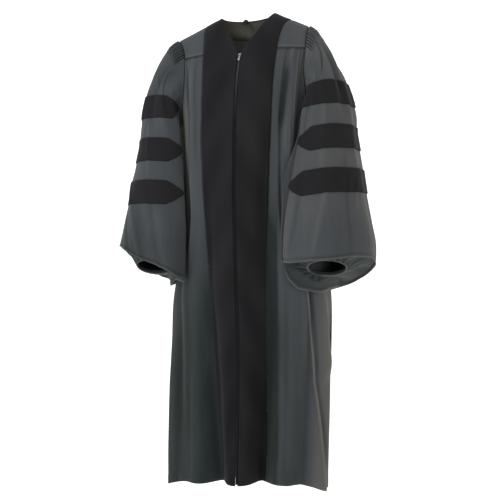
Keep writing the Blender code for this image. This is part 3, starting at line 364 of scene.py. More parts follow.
@functools.cache
def arc_share(side, z, length):
    """The share at which the front's folded outline is that long, from the middle."""
    steps = 120
    travelled = 0.0
    last = ring_point(True, side, 0.0, z)
    for k in range(1, steps + 1):
        share = 0.6 * k / steps
        point = ring_point(True, side, share, z)
        travelled += (point - last).length
        if travelled >= length:
            return share
        last = point
    return 0.6


@functools.cache
def velvet_edge(side, level):
    """The share where the velvet ends and the grey cloth begins."""
    at_seam = arc_share(side, FLARE_STARTS, velvet_width(side, FLARE_STARTS)) + FLARE_SHARE[side]
    if level >= 0.0:
        return mix(VELVET_RIDGE_SHARE, at_seam, ramp(level, -0.35, 1.0))
    height = min(level, FLARE_STARTS)
    below = arc_share(side, height, velvet_width(side, height))
    return mix(at_seam, below, ramp(-level, FRONT_YOKE_DROP, -FLARE_STARTS))


@functools.cache
def neck_share(side, level):
    """The share of the V neck's edge at one level of the yoke."""
    low, high = 0.0, 0.5
    for _ in range(40):
        share = (low + high) / 2
        point = body_point(True, side, share, level)
        wanted = NECK_HALF_WIDTH * (point.z + NECK_DROP) / NECK_DROP
        if abs(point.x) < wanted:
            low = share
        else:
            high = share
    return share


def zip_share(z):
    """The share of the velvet's edge beside the zip."""
    half_width = smooth_row(BODY_LEVELS, z)[0]
    return ZIP_HALF_GAP / half_width * 2.0 / math.pi


def armhole_level(front, along):
    """The armhole's height, along running from its corner with the yoke (0) to the underarm."""
    seam = FRONT_YOKE_DROP if front else BACK_YOKE_DROP
    return -mix(seam, UNDERARM, math.sqrt(1.0 - (1.0 - along) ** 2))


def column_top(front, share):
    seam = FRONT_YOKE_DROP if front else BACK_YOKE_DROP
    if share <= ARMHOLE_CORNER:
        return -seam
    return armhole_level(front, (share - ARMHOLE_CORNER) / (1.0 - ARMHOLE_CORNER))


def hem_level(front, side, share):
    return -mix(FRONT_HEM if front else BACK_HEM, SIDE_HEM[side], ramp(share, 0.45, 1.0))


def gap_share(length, z):
    return length / (smooth_row(BODY_LEVELS, z)[0] * math.pi / 2)


def nape_levels():
    """Where the neck edge and the velvet's lower edge cross the middle of the back yoke."""
    steps = 400
    points = [yoke_point(False, LEFT, 0.0, k / steps) for k in range(steps + 1)]
    neck = next(k for k, point in enumerate(points) if point.z <= -NAPE_DROP)
    length, low = 0.0, neck - 1
    while length < NAPE_BAND:
        low += 1
        length += (points[low] - points[low - 1]).length
    return neck / steps, low / steps


def quarter(share):
    return math.sqrt(max(0.0, 1.0 - share * share))


NAPE_LEVELS = nape_levels()
print("velvet ends at", round(velvet_edge(LEFT, -0.6), 3), "of the way to the side seam")

# %% [markdown]
# All the cloth is made in one way. A flat grid is a piece of cloth before it is sewn. Each of its
# points is moved to its place on the gown, and only then raised or sunk along the surface's own
# normal, for pleats, creases and seams. A cloth simulation could drape it too, but the folds would
# fall where they like, and here each one has its place. The grid's own coordinates become the UV
# map in metres, so a weave keeps its real size and runs with the cloth.
#
# A second value is stored at each point, from -1 in the bottom of a fold or seam to 1 on a ridge.
# The materials read it: it paints the seams' dark lines, painted shade in the folds and painted
# light on the ridges.

# %% A helper that sews a grid onto the gown
def sewn_grid(columns, rows, size, place, inside, tube=False):
    """A grid of cloth. place gives each (u, v) its point, its lift and its shade. inside is a
    point that the cloth's back faces."""
    bm = bmesh.new()
    uv_map = bm.loops.layers.uv.new("cloth")
    lift_layer = bm.verts.layers.float.new("lift")
    shade_layer = bm.verts.layers.float.new("shade")
    bmesh.ops.create_grid(bm, x_segments=columns, y_segments=rows, size=0.5)
    for face in bm.faces:
        for loop in face.loops:
            spot = loop.vert.co
            loop[uv_map].uv = ((spot.x + 0.5) * size[0], (spot.y + 0.5) * size[1])
    for vert in bm.verts:
        point, lift, shade = place(vert.co.x + 0.5, vert.co.y + 0.5)
        vert.co = leaned(point)
        vert[lift_layer] = lift
        vert[shade_layer] = shade
    if tube:
        bmesh.ops.remove_doubles(bm, verts=bm.verts, dist=0.00002)
    bm.normal_update()
    faces_out = sum(face.normal.dot(face.calc_center_median() - inside) for face in bm.faces)
    if faces_out < 0.0:
        bmesh.ops.reverse_faces(bm, faces=bm.faces)
        bm.normal_update()
    normals = [vert.normal.copy() for vert in bm.verts]
    for vert, normal in zip(bm.verts, normals):
        vert.co += normal * vert[lift_layer]
    return bm


def finished(name, bm, *materials):
    """Makes an object of a bmesh and puts it in the scene. The bmesh is used up."""
    mesh = bpy.data.meshes.new(name)
    bm.to_mesh(mesh)
    bm.free()
    mesh.shade_smooth()
    for material in materials:
        mesh.materials.append(material)
    made = bpy.data.objects.new(name, mesh)
    bpy.context.scene.collection.objects.link(made)
    return made


def cloth_piece(name, bm, thick, node, slot, materials, held=None, **cut):
    """Makes the grid an object with its thickness, in place of the node that it stands for. The
    cut's keywords, such as the pieces sewn to it, are not used."""
    piece = finished(name, bm, *materials)
    wall = piece.modifiers.new("thickness", "SOLIDIFY")
    wall.thickness = thick
    wall.offset = -1.0
    wall.use_rim = True
    wall.material_offset = len(materials) - 1
    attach(piece, "gown")
    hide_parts(node)
    faces = piece.data.polygons
    print(f"{name}: {sum(face.area for face in faces):.3f} square metres, {len(faces)} faces")
    return piece

# %% [markdown]
# Before any cloth is cut the finishes are mixed, one small function that adds a node and links it,
# and one that turns the hex colours of a swatch card, which are sRGB, to linear values.

# %% Helpers for materials
def linear(hex_colour, alpha=1.0):
    """An sRGB hex colour as linear red, green, blue and alpha."""
    parts = [int(hex_colour[k : k + 2], 16) / 255.0 for k in (0, 2, 4)]
    curve = [c / 12.92 if c <= 0.04045 else ((c + 0.055) / 1.055) ** 2.4 for c in parts]
    return (*curve, alpha)


def add(tree, kind, inputs=None, **settings):
    """A node with its settings. An input that is given a socket is linked to it."""
    made = tree.nodes.new(kind)
    for key, value in settings.items():
        setattr(made, key, value)
    for key, value in (inputs or {}).items():
        if isinstance(value, bpy.types.NodeSocket):
            tree.links.new(value, made.inputs[key])
        else:
            made.inputs[key].default_value = value
    return made


def colour_stops(tree, shader, value, low, high, *between):
    """Colours the shader by a value. Each stop is a place in the value's range and a colour."""
    chart = add(tree, "ShaderNodeValToRGB", {"Fac": value})
    stops = chart.color_ramp.elements
    for stop, (at, hex_colour) in zip(stops, (low, high)):
        stop.position, stop.color = at, linear(hex_colour)
    for at, hex_colour in between:
        stops.new(at).color = linear(hex_colour)
    tree.links.new(chart.outputs["Color"], shader.inputs["Base Color"])


def new_material(name, hex_colour, roughness, metallic=0.0):
    material = bpy.data.materials.new(name)
    material.use_nodes = True
    shader = material.node_tree.nodes["Principled BSDF"]
    shader.inputs["Base Color"].default_value = linear(hex_colour)
    shader.inputs["Roughness"].default_value = roughness
    shader.inputs["Metallic"].default_value = metallic
    return material, material.node_tree, shader

# %% [markdown]
# The grey cloth is a matt polyester gown cloth in plain weave. Up close the threads cross every
# half millimetre. That is too fine to show from where the camera stands, so the weave is drawn at
# 1.2 mm. Over it lies a slow unevenness, stretched along the threads, like the slubs of real
# yarn, and soft crumples a few centimetres across. The colour follows the shade that each piece
# stores: nearly black green in the folds, grey on the flats, and a warmer grey on the ridges.

# %% Grey gown cloth
THREAD_PITCH = 0.0012
# A wave texture's bands repeat each 2 pi / 20 of its own units.
WAVE_REPEAT = 2.0 * math.pi / 20.0


def woven_material(name, valley, flat, ridge, crumple):
    material, tree, shader = new_material(name, flat, 0.86)
    shader.inputs["Specular IOR Level"].default_value = 0.25
    shader.inputs["Sheen Weight"].default_value = 0.12
    shader.inputs["Sheen Roughness"].default_value = 0.55
    shader.inputs["Sheen Tint"].default_value = linear("C9C6BC")
    cloth = add(tree, "ShaderNodeUVMap", uv_map="cloth").outputs["UV"]
    place = add(tree, "ShaderNodeTexCoord").outputs["Object"]
    shade = add(tree, "ShaderNodeAttribute", attribute_name="shade").outputs["Fac"]
    slub_map = add(tree, "ShaderNodeMapping", {"Vector": cloth, "Scale": (90.0, 9.0, 1.0)})
    slub = add(
        tree,
        "ShaderNodeTexNoise",
        {"Vector": slub_map.outputs["Vector"], "Scale": 1.0, "Detail": 3.0, "Roughness": 0.6},
    )
    drift_map = add(tree, "ShaderNodeMapping", {"Vector": place, "Scale": (7.0, 7.0, 2.2)})
    drift = add(
        tree,
        "ShaderNodeTexNoise",
        {"Vector": drift_map.outputs["Vector"], "Scale": 1.0, "Detail": 2.0},
    )
    uneven = add(
        tree,
        "ShaderNodeMath",
        {0: slub.outputs["Fac"], 1: 0.16, 2: -0.08},
        operation="MULTIPLY_ADD",
    )
    slow = add(
        tree,
        "ShaderNodeMath",
        {0: drift.outputs["Fac"], 1: 0.50, 2: uneven.outputs["Value"]},
        operation="MULTIPLY_ADD",
    )
    height = add(
        tree,
        "ShaderNodeMath",
        {0: shade, 1: 0.5, 2: slow.outputs["Value"]},
        operation="MULTIPLY_ADD",
    )
    level = add(
        tree,
        "ShaderNodeMath",
        {0: height.outputs["Value"], 1: 0.25},
        operation="ADD",
        use_clamp=True,
    )
    level = level.outputs["Value"]
    # Valley colour: painted shade in folds and seams. Ridge colour: painted light on ridges.
    colour_stops(tree, shader, level, (0.0, valley), (1.0, ridge), (0.5, flat))
    warp, weft = (
        add(
            tree,
            "ShaderNodeTexWave",
            {"Vector": cloth, "Scale": WAVE_REPEAT / THREAD_PITCH},
            wave_type="BANDS",
            bands_direction=direction,
        ).outputs["Fac"]
        for direction in ("X", "Y")
    )
    weave = add(tree, "ShaderNodeMath", {0: warp, 1: weft}, operation="MULTIPLY")
    crumple_map = add(tree, "ShaderNodeMapping", {"Vector": place, "Scale": (1.0, 1.0, 0.45)})
    crumples = add(
        tree,
        "ShaderNodeTexNoise",
        {"Vector": crumple_map.outputs["Vector"], "Scale": 26.0, "Detail": 4.0, "Roughness": 0.5},
    )
    soft = add(
        tree,
        "ShaderNodeBump",
        {"Height": crumples.outputs["Fac"], "Strength": crumple, "Distance": 0.008},
    )
    fine = add(
        tree,
        "ShaderNodeBump",
        {
            "Height": weave.outputs["Value"],
            "Strength": 0.25,
            "Distance": 0.0004,
            "Normal": soft.outputs["Normal"],
        },
    )
    tree.links.new(fine.outputs["Normal"], shader.inputs["Normal"])
    return material


# A nearly black green valley colour as painted shade, a warmer ridge colour as painted light.
gown_cloth = woven_material("grey_gown_cloth", "1B2424", "42464A", "62615C", 0.35)
# The wrong side is olive grey, painted far lighter than the right: painted light inside the gown.
cloth_back = woven_material("gown_cloth_wrong_side_painted_light", "4A4D48", "727366", "868576", 0.35)
print("materials:", gown_cloth.name, cloth_back.name)

# %% [markdown]
# Velvet is a short upright pile. Seen straight on it swallows the light and is nearly black, and
# where the pile is seen from the side it turns grey, which a sheen layer gives. The pile lies
# unevenly where hands have brushed it, so its colour drifts a little.

# %% Black cotton velvet
def velvet_material():
    material, tree, shader = new_material("black_velvet_pile", "222224", 1.0)
    shader.inputs["Specular IOR Level"].default_value = 0.08
    shader.inputs["Sheen Weight"].default_value = 0.22
    shader.inputs["Sheen Roughness"].default_value = 0.45
    shader.inputs["Sheen Tint"].default_value = linear("8A8A90")
    place = add(tree, "ShaderNodeTexCoord").outputs["Object"]
    brushed_map = add(tree, "ShaderNodeMapping", {"Vector": place, "Scale": (14.0, 14.0, 5.0)})
    brushed = add(
        tree,
        "ShaderNodeTexNoise",
        {"Vector": brushed_map.outputs["Vector"], "Scale": 1.0, "Detail": 3.0},
    )
    quiet = add(
        tree,
        "ShaderNodeMath",
        {0: brushed.outputs["Fac"], 1: 0.4, 2: 0.3},
        operation="MULTIPLY_ADD",
    )
    # The stored shade paints the edges and the lower velvet darker: painted shade.
    shade = add(tree, "ShaderNodeAttribute", attribute_name="shade").outputs["Fac"]
    level = add(
        tree,
        "ShaderNodeMath",
        {0: shade, 1: 0.45, 2: quiet.outputs["Value"]},
        operation="MULTIPLY_ADD",
        use_clamp=True,
    )
    colour_stops(tree, shader, level.outputs["Value"], (0.2, "18181A"), (0.8, "29292B"))
    pile = add(
        tree,
        "ShaderNodeTexNoise",
        {"Vector": place, "Scale": 900.0, "Detail": 2.0},
    )
    bump_node = add(
        tree,
        "ShaderNodeBump",
        {"Height": pile.outputs["Fac"], "Strength": 0.3, "Distance": 0.0006},
    )
    tree.links.new(bump_node.outputs["Normal"], shader.inputs["Normal"])
    return material


black_velvet = velvet_material()
print("material:", black_velvet.name)

# %% [markdown]
# Small creases come on top of the big folds. They are sharper, they start at a seam that gathers
# them, and no two are alike, so each is given one by one: where it starts and ends, half its width
# and how deep it is. On the body a place is a share of the way to the side seam and a height. The
# same kind of row serves the sleeves, with degrees round the sleeve instead of a share.

# %% Creases, one by one
class Crease(NamedTuple):
    """A soft trough (rise below 0) or ridge between two places of a sheet."""

    across_top: float
    z_top: float
    across_low: float
    z_low: float
    half_width: float
    rise: float


def creased(creases, across, z, width):
    """The lift of a sheet's creases at one place. width turns across into metres."""
    rise = 0.0
    for crease in creases:
        along = (crease.z_top - z) / (crease.z_top - crease.z_low)
        if not -0.25 < along < 1.25:
            continue
        ends = ramp(along, -0.12, 0.12) * (1.0 - ramp(along, 0.80, 1.15))
        apart = (across - mix(crease.across_top, crease.across_low, along)) * width
        rise += crease.rise * ends * bump(apart, crease.half_width)
    return rise


FRONT_CREASES = {
    LEFT: (
        #      across  z      across  z      half_width rise
        Crease(0.440, -0.128, 0.440, -0.660, 0.0045, -0.0045),
        Crease(0.490, -0.175, 0.455, -0.340, 0.0090, -0.0065),
        Crease(0.505, -0.118, 0.490, -0.400, 0.0070, 0.0035),
        Crease(0.560, -0.118, 0.550, -0.420, 0.0035, -0.0025),
        Crease(0.610, -0.118, 0.590, -0.360, 0.0035, -0.0025),
        Crease(0.650, -0.122, 0.640, -0.560, 0.0040, -0.0030),
        Crease(0.600, -0.300, 0.560, -0.700, 0.0080, -0.0030),
        Crease(0.565, -0.770, 0.655, -1.050, 0.0032, 0.0060),
        Crease(0.655, -1.050, 0.900, -1.320, 0.0032, 0.0060),
        Crease(0.605, -0.770, 0.695, -1.050, 0.0070, -0.0045),
        Crease(0.695, -1.050, 0.940, -1.320, 0.0070, -0.0045),
        Crease(0.930, -0.930, 0.800, -1.050, 0.0090, 0.0045),
        Crease(0.420, -0.760, 0.400, -1.320, 0.0100, 0.0025),
    ),
    RIGHT: (
        #      across  z      across  z      half_width rise
        Crease(0.450, -0.125, 0.430, -0.420, 0.0060, -0.0025),
        Crease(0.620, -0.122, 0.640, -0.620, 0.0070, -0.0040),
        Crease(0.520, -0.160, 0.520, -0.500, 0.0110, 0.0025),
        Crease(0.520, -0.460, 0.480, -1.000, 0.0120, 0.0025),
        Crease(0.500, -0.700, 0.440, -1.320, 0.0140, -0.0045),
        Crease(0.800, -0.780, 0.760, -1.320, 0.0080, 0.0035),
        Crease(0.900, -0.800, 0.900, -1.300, 0.0080, -0.0040),
    ),
}
HALF_AROUND = 0.30
print("front creases:", sum(map(len, FRONT_CREASES.values())))

# %% [markdown]
# A sewn edge shows as a fine dark line with the cloth rounding down to it, and a hem as a double
# thickness with its stitches. One function gives both, from how far a point is from the edge.

# %% Seams and hems
SEAM_DIP = 0.0011
SEAM_HALF_WIDTH = 0.0026
HEM_HEIGHT = 0.030
# Cloth that stands this far out or lies this far in has its lightest or darkest shade.
FULL_SHADE_RISE = 0.011
# Points that each sheet's wrong side faces.
INSIDE_BODY, INSIDE_CHEST = Vector((0.0, 0.02, -0.7)), Vector((0.0, 0.02, -0.3))


def seam(distance):
    """(lift, shade) beside a seam, by the distance from it."""
    near = bump(distance, SEAM_HALF_WIDTH)
    return -SEAM_DIP * near, -0.9 * near


def seams(*distances):
    """(lift, shade) of several seams together."""
    dips, darks = zip(*(seam(distance) for distance in distances))
    return sum(dips), sum(darks)


def edge_roll(distance, width):
    """How far an edge that is turned under has rounded down: 1 on it, 0 from width inwards."""
    return 1.0 - quarter(max(0.0, 1.0 - distance / width))


def hem(distance):
    """(lift, shade) above a hem: a fuller edge, and the dimple of its line of stitches."""
    turned = 0.0005 * (1.0 - ramp(distance, HEM_HEIGHT - 0.001, HEM_HEIGHT + 0.002))
    stitches = bump(distance - HEM_HEIGHT, 0.0016)
    return turned - 0.0006 * stitches, -0.35 * stitches


def rolled_hem(distance):
    """(lift, shade) at a sleeve's lower edge, where the cloth rolls over, with a painted highlight
    on the roll and painted shade below it.
    """
    lip = bump(distance - 0.0026, 0.0032)
    under = bump(distance - 0.0085, 0.0035)
    return 0.0014 * lip - 0.0007 * under, 1.0 * lip - 0.55 * under


def limited(shade):
    return max(-1.0, min(1.0, shade))


def cloth_shade(rise):
    """Shade from how far a point stands out of its surroundings."""
    return limited(rise / FULL_SHADE_RISE)

# %% [markdown]
# The two grey fronts run from the velvet's edge to the side seam, under the yoke. The grid's
# columns are set closer at the armhole, where its edge turns steeply. The wearer's left front has
# a narrow pleat pressed along the velvet, painted dark as painted shade. Towards the hem both
# fronts are painted a little darker, a painted shade, because the cloth falls back there and
# turns from the light.

# %% Grey fronts
FRONT_GRID = (110, 150)
PLEAT_WIDTH, PLEAT_EDGE, PLEAT_DEPTH = 0.025, 0.003, 0.0030
PLEAT_STARTS, PLEAT_FULL = 0.50, 0.75
# Share of the columns that lie before the armhole's corner, and how the others close up to it.
CORNER_COLUMN, CLOSER = 0.6, 1.5
# Beside the pleat the cloth is painted lighter: a painted highlight.
PLEAT_BESIDE = 0.034
# The side seam hangs in a fold, so it shows less than the others.
SIDE_SEAM_SHARE = 0.3


class PaintedShadeRow(NamedTuple):
    """The painted shade added to the fronts and the velvet at one height."""

    z: float
    left: float
    right: float
    velvet: float


PAINTED_SHADE_BY_HEIGHT = (
    #    z      left   right  velvet
    PaintedShadeRow(-0.12, 0.00, 0.00, 0.00),
    PaintedShadeRow(-0.35, 0.00, -0.20, 0.00),
    PaintedShadeRow(-0.60, -0.10, -0.24, -0.10),
    PaintedShadeRow(-0.90, -0.60, -0.66, -0.28),
    PaintedShadeRow(-1.35, -0.95, -0.95, -0.32),
)
# A long fold's sharp edge on the wearer's left front, with a painted highlight along it: heights
# and shares.
LIT_FOLD = ((-0.760, 0.565), (-1.050, 0.655), (-1.340, 0.905))


def lit_fold(share, z):
    """1 on the fold's edge, where its painted highlight lies, 0 beside it."""
    (top_z, top), (middle_z, middle), (low_z, low) = LIT_FOLD
    if z > middle_z:
        at = mix(top, middle, (top_z - z) / (top_z - middle_z))
    else:
        at = mix(middle, low, (middle_z - z) / (middle_z - low_z))
    return bump((share - at) * HALF_AROUND, 0.0022) * ramp(-z, -top_z, -top_z + 0.06)


def sheet_height(front, side, share, v):
    """The height of a grid row at one column, from the hem (v 0) up to the yoke or armhole."""
    top = column_top(front, share) - SEAM_GAP
    return mix(hem_level(front, side, share), top, v)


def grey_front(side):
    sheet = f"front_{SIDE_NAME[side]}"
    length = FRONT_HEM - FRONT_YOKE_DROP

    def place(u, v):
        rough = mix(-FRONT_HEM, -FRONT_YOKE_DROP, v)
        first = velvet_edge(side, round(rough, 4)) + gap_share(SEAM_GAP, rough)
        if u < CORNER_COLUMN:
            share = mix(first, ARMHOLE_CORNER, u / CORNER_COLUMN)
        else:
            beyond = (u - CORNER_COLUMN) / (1.0 - CORNER_COLUMN)
            share = mix(ARMHOLE_CORNER, 1.0, beyond**CLOSER)
        share = min(share, 1.0 - gap_share(SEAM_GAP / 2, rough))
        z = sheet_height(True, side, share, v)
        point = ring_point(True, side, share, z)
        rise = creased(FRONT_CREASES[side], share, z, HALF_AROUND)
        big = front_fold(side, share, z)
        beside = (share - first) * HALF_AROUND
        lift, shade = seams(beside, (1.0 - v) * length)
        dip, dark = seam((1.0 - share) * HALF_AROUND)
        lift += SIDE_SEAM_SHARE * dip
        shade += SIDE_SEAM_SHARE * dark
        left_painted_shade, right_painted_shade, _ = smooth_row(PAINTED_SHADE_BY_HEIGHT, z)
        if side == LEFT:
            started = ramp(-z, PLEAT_STARTS, PLEAT_FULL)
            pleated = started * (1.0 - ramp(beside, PLEAT_WIDTH, PLEAT_WIDTH + PLEAT_EDGE))
            lit = lit_fold(share, z)
            lift += 0.0015 * lit - PLEAT_DEPTH * pleated * ramp(beside, 0.001, 0.008)
            # Painted light beside the pleat and on the fold's edge, painted shade in the pleat.
            shade += 0.45 * bump(beside - PLEAT_BESIDE, 0.008) * started
            shade += 1.6 * lit - 1.3 * pleated
            shade += left_painted_shade * (1.0 - 1.5 * ramp(share, 0.45, 0.80))
        else:
            # Painted light under the sleeve, where its shadow falls, and low beside the velvet.
            under_arm = ramp(-z, 0.18, 0.30) * (1.0 - ramp(-z, 0.62, 0.70))
            by_velvet = 1.0 - ramp(share - first, 0.0, 0.12)
            shade += 0.9 * ramp(share, 0.60, 0.68) * under_arm
            shade += 0.6 * by_velvet * ramp(-z, 0.80, 1.00) + right_painted_shade
        hem_lift, hem_dark = hem(v * length)
        # Creases and folds: painted shade in their troughs, painted light on their ridges.
        shade += hem_dark + cloth_shade(rise) + 0.5 * cloth_shade(big * 0.4)
        return point, lift + hem_lift + rise, limited(shade)

    width = HALF_AROUND * (1.0 - velvet_edge(side, -0.6))
    bm = sewn_grid(*FRONT_GRID, (width, length), place, INSIDE_BODY)
    cloth_piece(
        f"{sheet}_cloth", bm, CLOTH, sheet, "grey_cloth", (gown_cloth, cloth_back), "hung",
        flat=FRONT_CUT, area=FRONT_CUT_AREA,
        rests_on=[f"yoke_{sheet}", f"velvet_{SIDE_NAME[side]}"],
    )


# The cut of one front, with its side seam flared.
FRONT_CUT = (0.27, 1.22)
FRONT_CUT_AREA = 0.25
for side in (LEFT, RIGHT):
    grey_front(side)

# %% [markdown]
# The front yokes lie over the shoulders. They are smooth, with a pressed edge along the yoke
# seam where the gathered front is let in under them.

# %% Front yokes
YOKE_CUT = (0.080, 0.130)


def front_yoke_cloth(side):
    name = f"yoke_front_{SIDE_NAME[side]}"

    def place(u, v):
        level = mix(1.0, SEAM_GAP / YOKE_LENGTH, v)
        first = velvet_edge(side, round(level, 4)) + SEAM_GAP / SIDE_LENGTH
        share = mix(first, ARMHOLE_CORNER, u)
        point = yoke_point(True, side, share, level)
        lift, shade = seams(
            (share - first) * SIDE_LENGTH,
            (ARMHOLE_CORNER - share) * SIDE_LENGTH,
            (1.0 - level) * YOKE_LENGTH,
            level * YOKE_LENGTH,
        )
        pressed = bump((1.0 - level) * YOKE_LENGTH - 0.008, 0.0045)
        # The pressed edge is painted lighter: a painted highlight.
        return point, lift + 0.0007 * pressed, max(-1.0, shade + 0.3 * pressed)

    bm = sewn_grid(30, 46, YOKE_CUT, place, INSIDE_CHEST)
    cloth_piece(
        f"{name}_cloth", bm, CLOTH, name, "grey_cloth", (gown_cloth, cloth_back), "hung",
        flat=YOKE_CUT, area=YOKE_CUT[0] * YOKE_CUT[1] * 0.8, rests_on=["yoke_back"],
    )


for side in (LEFT, RIGHT):
    front_yoke_cloth(side)

# %% [markdown]
# The zip's woven tape comes before the velvet that covers it, because the velvet's piece is
# handed the tape. The tape is given no cut of its own.

# %% Zip tape
# How deep the closed chain is, how far it stands out, and where it starts and ends.
CHAIN_DEPTH = 0.0030
CHAIN_PROUD = 0.0004
CHAIN_BELOW_V = 0.006
CHAIN_ABOVE_HEM = 0.004
TAPE_HALF_WIDTH = 0.0028
TAPE_DEPTH = 0.0016
TAPE_SIZE = (0.03, 1.20)
# The share of a yoke, beside the shoulder seam, that takes its direction from that seam.
BY_RIDGE = 0.18


def outward_normal(surface, u, v, step=0.004):
    """The normal of a surface function, on the side that du x dv points to."""
    along = surface(u + step, v) - surface(u - step, v)
    down = surface(u, v + step) - surface(u, v - step)
    return along.cross(down).normalized()


def ridge_normal(side, share):
    """The direction out of the cloth on the shoulder seam."""
    along = ridge_point(side, share + 0.01) - ridge_point(side, share - 0.01)
    normal = along.cross(Vector((0.0, 1.0, 0.0)))
    return (normal if normal.z > 0.0 else -normal).normalized()


def body_normal(front, side, share, level):
    """The direction out of the cloth at any place of the body."""
    if level >= 0.0:
        low = min(max(level, 0.01), 0.99)
        normal = outward_normal(
            lambda u, v: yoke_point(front, side, u, v), max(share, 0.005), low
        )
        over = (normal if normal.z > 0.0 else -normal).lerp(
            ridge_normal(side, share), 1.0 - ramp(level, 0.0, BY_RIDGE)
        )
        if level < BY_RIDGE:
            return over.normalized()
    else:
        normal = outward_normal(
            lambda u, v: ring_point(front, side, u, v), max(share, 0.005), level
        )
    middle = Vector((0.0, 0.02, min(-0.2, level if level < 0.0 else -0.2)))
    facing = body_point(front, side, share, level) - middle
    return normal if normal.dot(facing) > 0.0 else -normal


def chain_point(z):
    """The middle of the zip at height z, and the direction out of the cloth there."""
    point = ring_point(True, LEFT, 0.0, z)
    normal = body_normal(True, LEFT, 0.0, z)
    return point, Vector((0.0, normal.y, normal.z)).normalized()


def zip_tape():
    """A narrow dark strip behind the teeth, which closes the gap between the facings."""
    def place(u, v):
        z = mix(-FRONT_HEM + CHAIN_ABOVE_HEM, -NECK_DROP - CHAIN_BELOW_V, v)
        point, out = chain_point(z)
        across = mix(-TAPE_HALF_WIDTH, TAPE_HALF_WIDTH, u)
        return Vector((point.x + across, point.y, point.z)) - out * TAPE_DEPTH, 0.0, -0.4

    bm = sewn_grid(6, 200, TAPE_SIZE, place, INSIDE_BODY)
    return cloth_piece("zip_tape", bm, 0.0006, "zip_chain", "zip_teeth", (black_velvet,))


tape = zip_tape()

# %% [markdown]
# The velvet facing is one long strip: up the front edge, round the neck and to the middle of the
# back. Its grid follows stations along that way, each with a place at its inner and at its outer
# edge. The edges are turned under, so they are rounded over the last two millimetres.

# %% Velvet facings
VELVET_CUT = (0.106, 1.48)
VELVET_EDGE_ROLL = 0.0022
VELVET_RIPPLE = 0.0007
# Shares of the strip's length where it reaches the yoke and the shoulder seam.
AT_YOKE, AT_SHOULDER = 0.74, 0.87


def velvet_station(side, v):
    """(is it in front, inner edge, outer edge) of the strip, each edge a (share, level)."""
    if v < AT_YOKE:
        z = mix(-FRONT_HEM, -FRONT_YOKE_DROP - 0.008, v / AT_YOKE)
        return True, (zip_share(z), z), (velvet_edge(side, round(z, 4)), z)
    if v < AT_SHOULDER:
        level = round(1.0 - (v - AT_YOKE) / (AT_SHOULDER - AT_YOKE), 4)
        inner = max(neck_share(side, level), zip_share(-FRONT_YOKE_DROP))
        return True, (inner, level), (velvet_edge(side, level), level)
    turn = (1.0 - v) / (1.0 - AT_SHOULDER)
    least = gap_share(SEAM_GAP / 2, -FRONT_YOKE_DROP)
    inner = max(NECK_RIDGE_SHARE * turn, least)
    outer = max(VELVET_RIDGE_SHARE * turn, least)
    return (
        False,
        (inner, NAPE_LEVELS[0] * quarter(inner / NECK_RIDGE_SHARE)),
        (outer, NAPE_LEVELS[1] * quarter(outer / VELVET_RIDGE_SHARE)),
    )


def velvet_facing(side):
    name = f"velvet_{SIDE_NAME[side]}"

    def place(u, v):
        front, inner, outer = velvet_station(side, v)
        point = body_point(front, side, mix(inner[0], outer[0], u), mix(inner[1], outer[1], u))
        edge = min(u, 1.0 - u) * VELVET_CUT[0]
        rolled = edge_roll(edge, VELVET_EDGE_ROLL)
        brushed = math.sin(u * 5.0 + v * 31.0) * math.sin(v * 23.0 + side)
        ripple = VELVET_RIPPLE * brushed * ramp(edge, 0.0, 0.02)
        lift = VELVET_PROUD * (1.0 - 1.6 * rolled) + ripple
        # The turned-under edges and the lower velvet are painted darker: painted shade.
        return point, lift, 0.3 * brushed - 0.8 * rolled + smooth_row(PAINTED_SHADE_BY_HEIGHT, point.z)[2]

    bm = sewn_grid(26, 330, VELVET_CUT, place, INSIDE_BODY)
    cloth_piece(
        f"{name}_pile", bm, VELVET, name, "black_velvet", (black_velvet, cloth_back), "hung",
        flat=VELVET_CUT, area=VELVET_CUT[0] * VELVET_CUT[1] * 0.97,
        rests_on=[f"front_{SIDE_NAME[side]}", f"yoke_front_{SIDE_NAME[side]}", "yoke_back"],
        with_pieces=[tape] if side == LEFT else [],
    )


for side in (LEFT, RIGHT):
    velvet_facing(side)

# %% [markdown]
# The hanging loop is a narrow ribbon with its ends sewn behind the nape, so that the gown can
# hang on a peg.

# %% Hanging loop
LOOP_WIDTH = 0.019
LOOP_RISE = 0.008
LOOP_ROOT = 0.006
LOOP_DEPTH = 0.004
LOOP_GAP = 0.0008
LOOP_CUT, LOOP_THICK = (0.036, 0.004), 0.0012
# The loop is sewn a little to the wearer's right of the middle.
LOOP_X = -0.014


def hanging_ribbon():
    """The ribbon's curve is half an oval over its two sewn ends."""
    top = yoke_point(False, RIGHT, 0.0, NAPE_LEVELS[0])
    normal = body_normal(False, RIGHT, 0.0, NAPE_LEVELS[0])
    top.x = LOOP_X
    behind = top - normal * (VELVET + 2 * SEAM_GAP)
    reach, rise = LOOP_WIDTH / 2, LOOP_RISE + LOOP_ROOT

    def place(u, v):
        back = LOOP_GAP + 0.5 * v * LOOP_DEPTH
        root = Vector((behind.x, behind.y - back, behind.z - LOOP_ROOT))
        slack = 1.0 - 0.6 * v
        turn = math.pi * u
        curve = Vector((reach * math.cos(turn), 0.0, rise * math.sin(turn))) * slack
        edge = min(v, 1.0 - v) * LOOP_DEPTH
        stitched = bump(edge - 0.0006, 0.0004)
        return root + curve, -0.0002 * stitched, -0.9 - 0.1 * stitched

    inside = leaned(Vector((behind.x, behind.y, behind.z - 0.01)))
    bm = sewn_grid(44, 10, LOOP_CUT, place, inside)
    return cloth_piece(
        "hanging_ribbon", bm, LOOP_THICK, "hanging_loop", "grey_cloth", (gown_cloth,)
    )


ribbon = hanging_ribbon()

# %% [markdown]
# The back yoke closes the gown under the nape. Its wrong side shows through the neck, where a
# line runs down its middle.

# %% Back yoke
BACK_YOKE_CUT = (0.40, 0.15)
# The yoke's upper edge goes on under the velvet, where it is sewn down.
UNDER_VELVET, UNDER_DEPTH, UNDER_SHARE = 0.012, 0.0026, 0.14


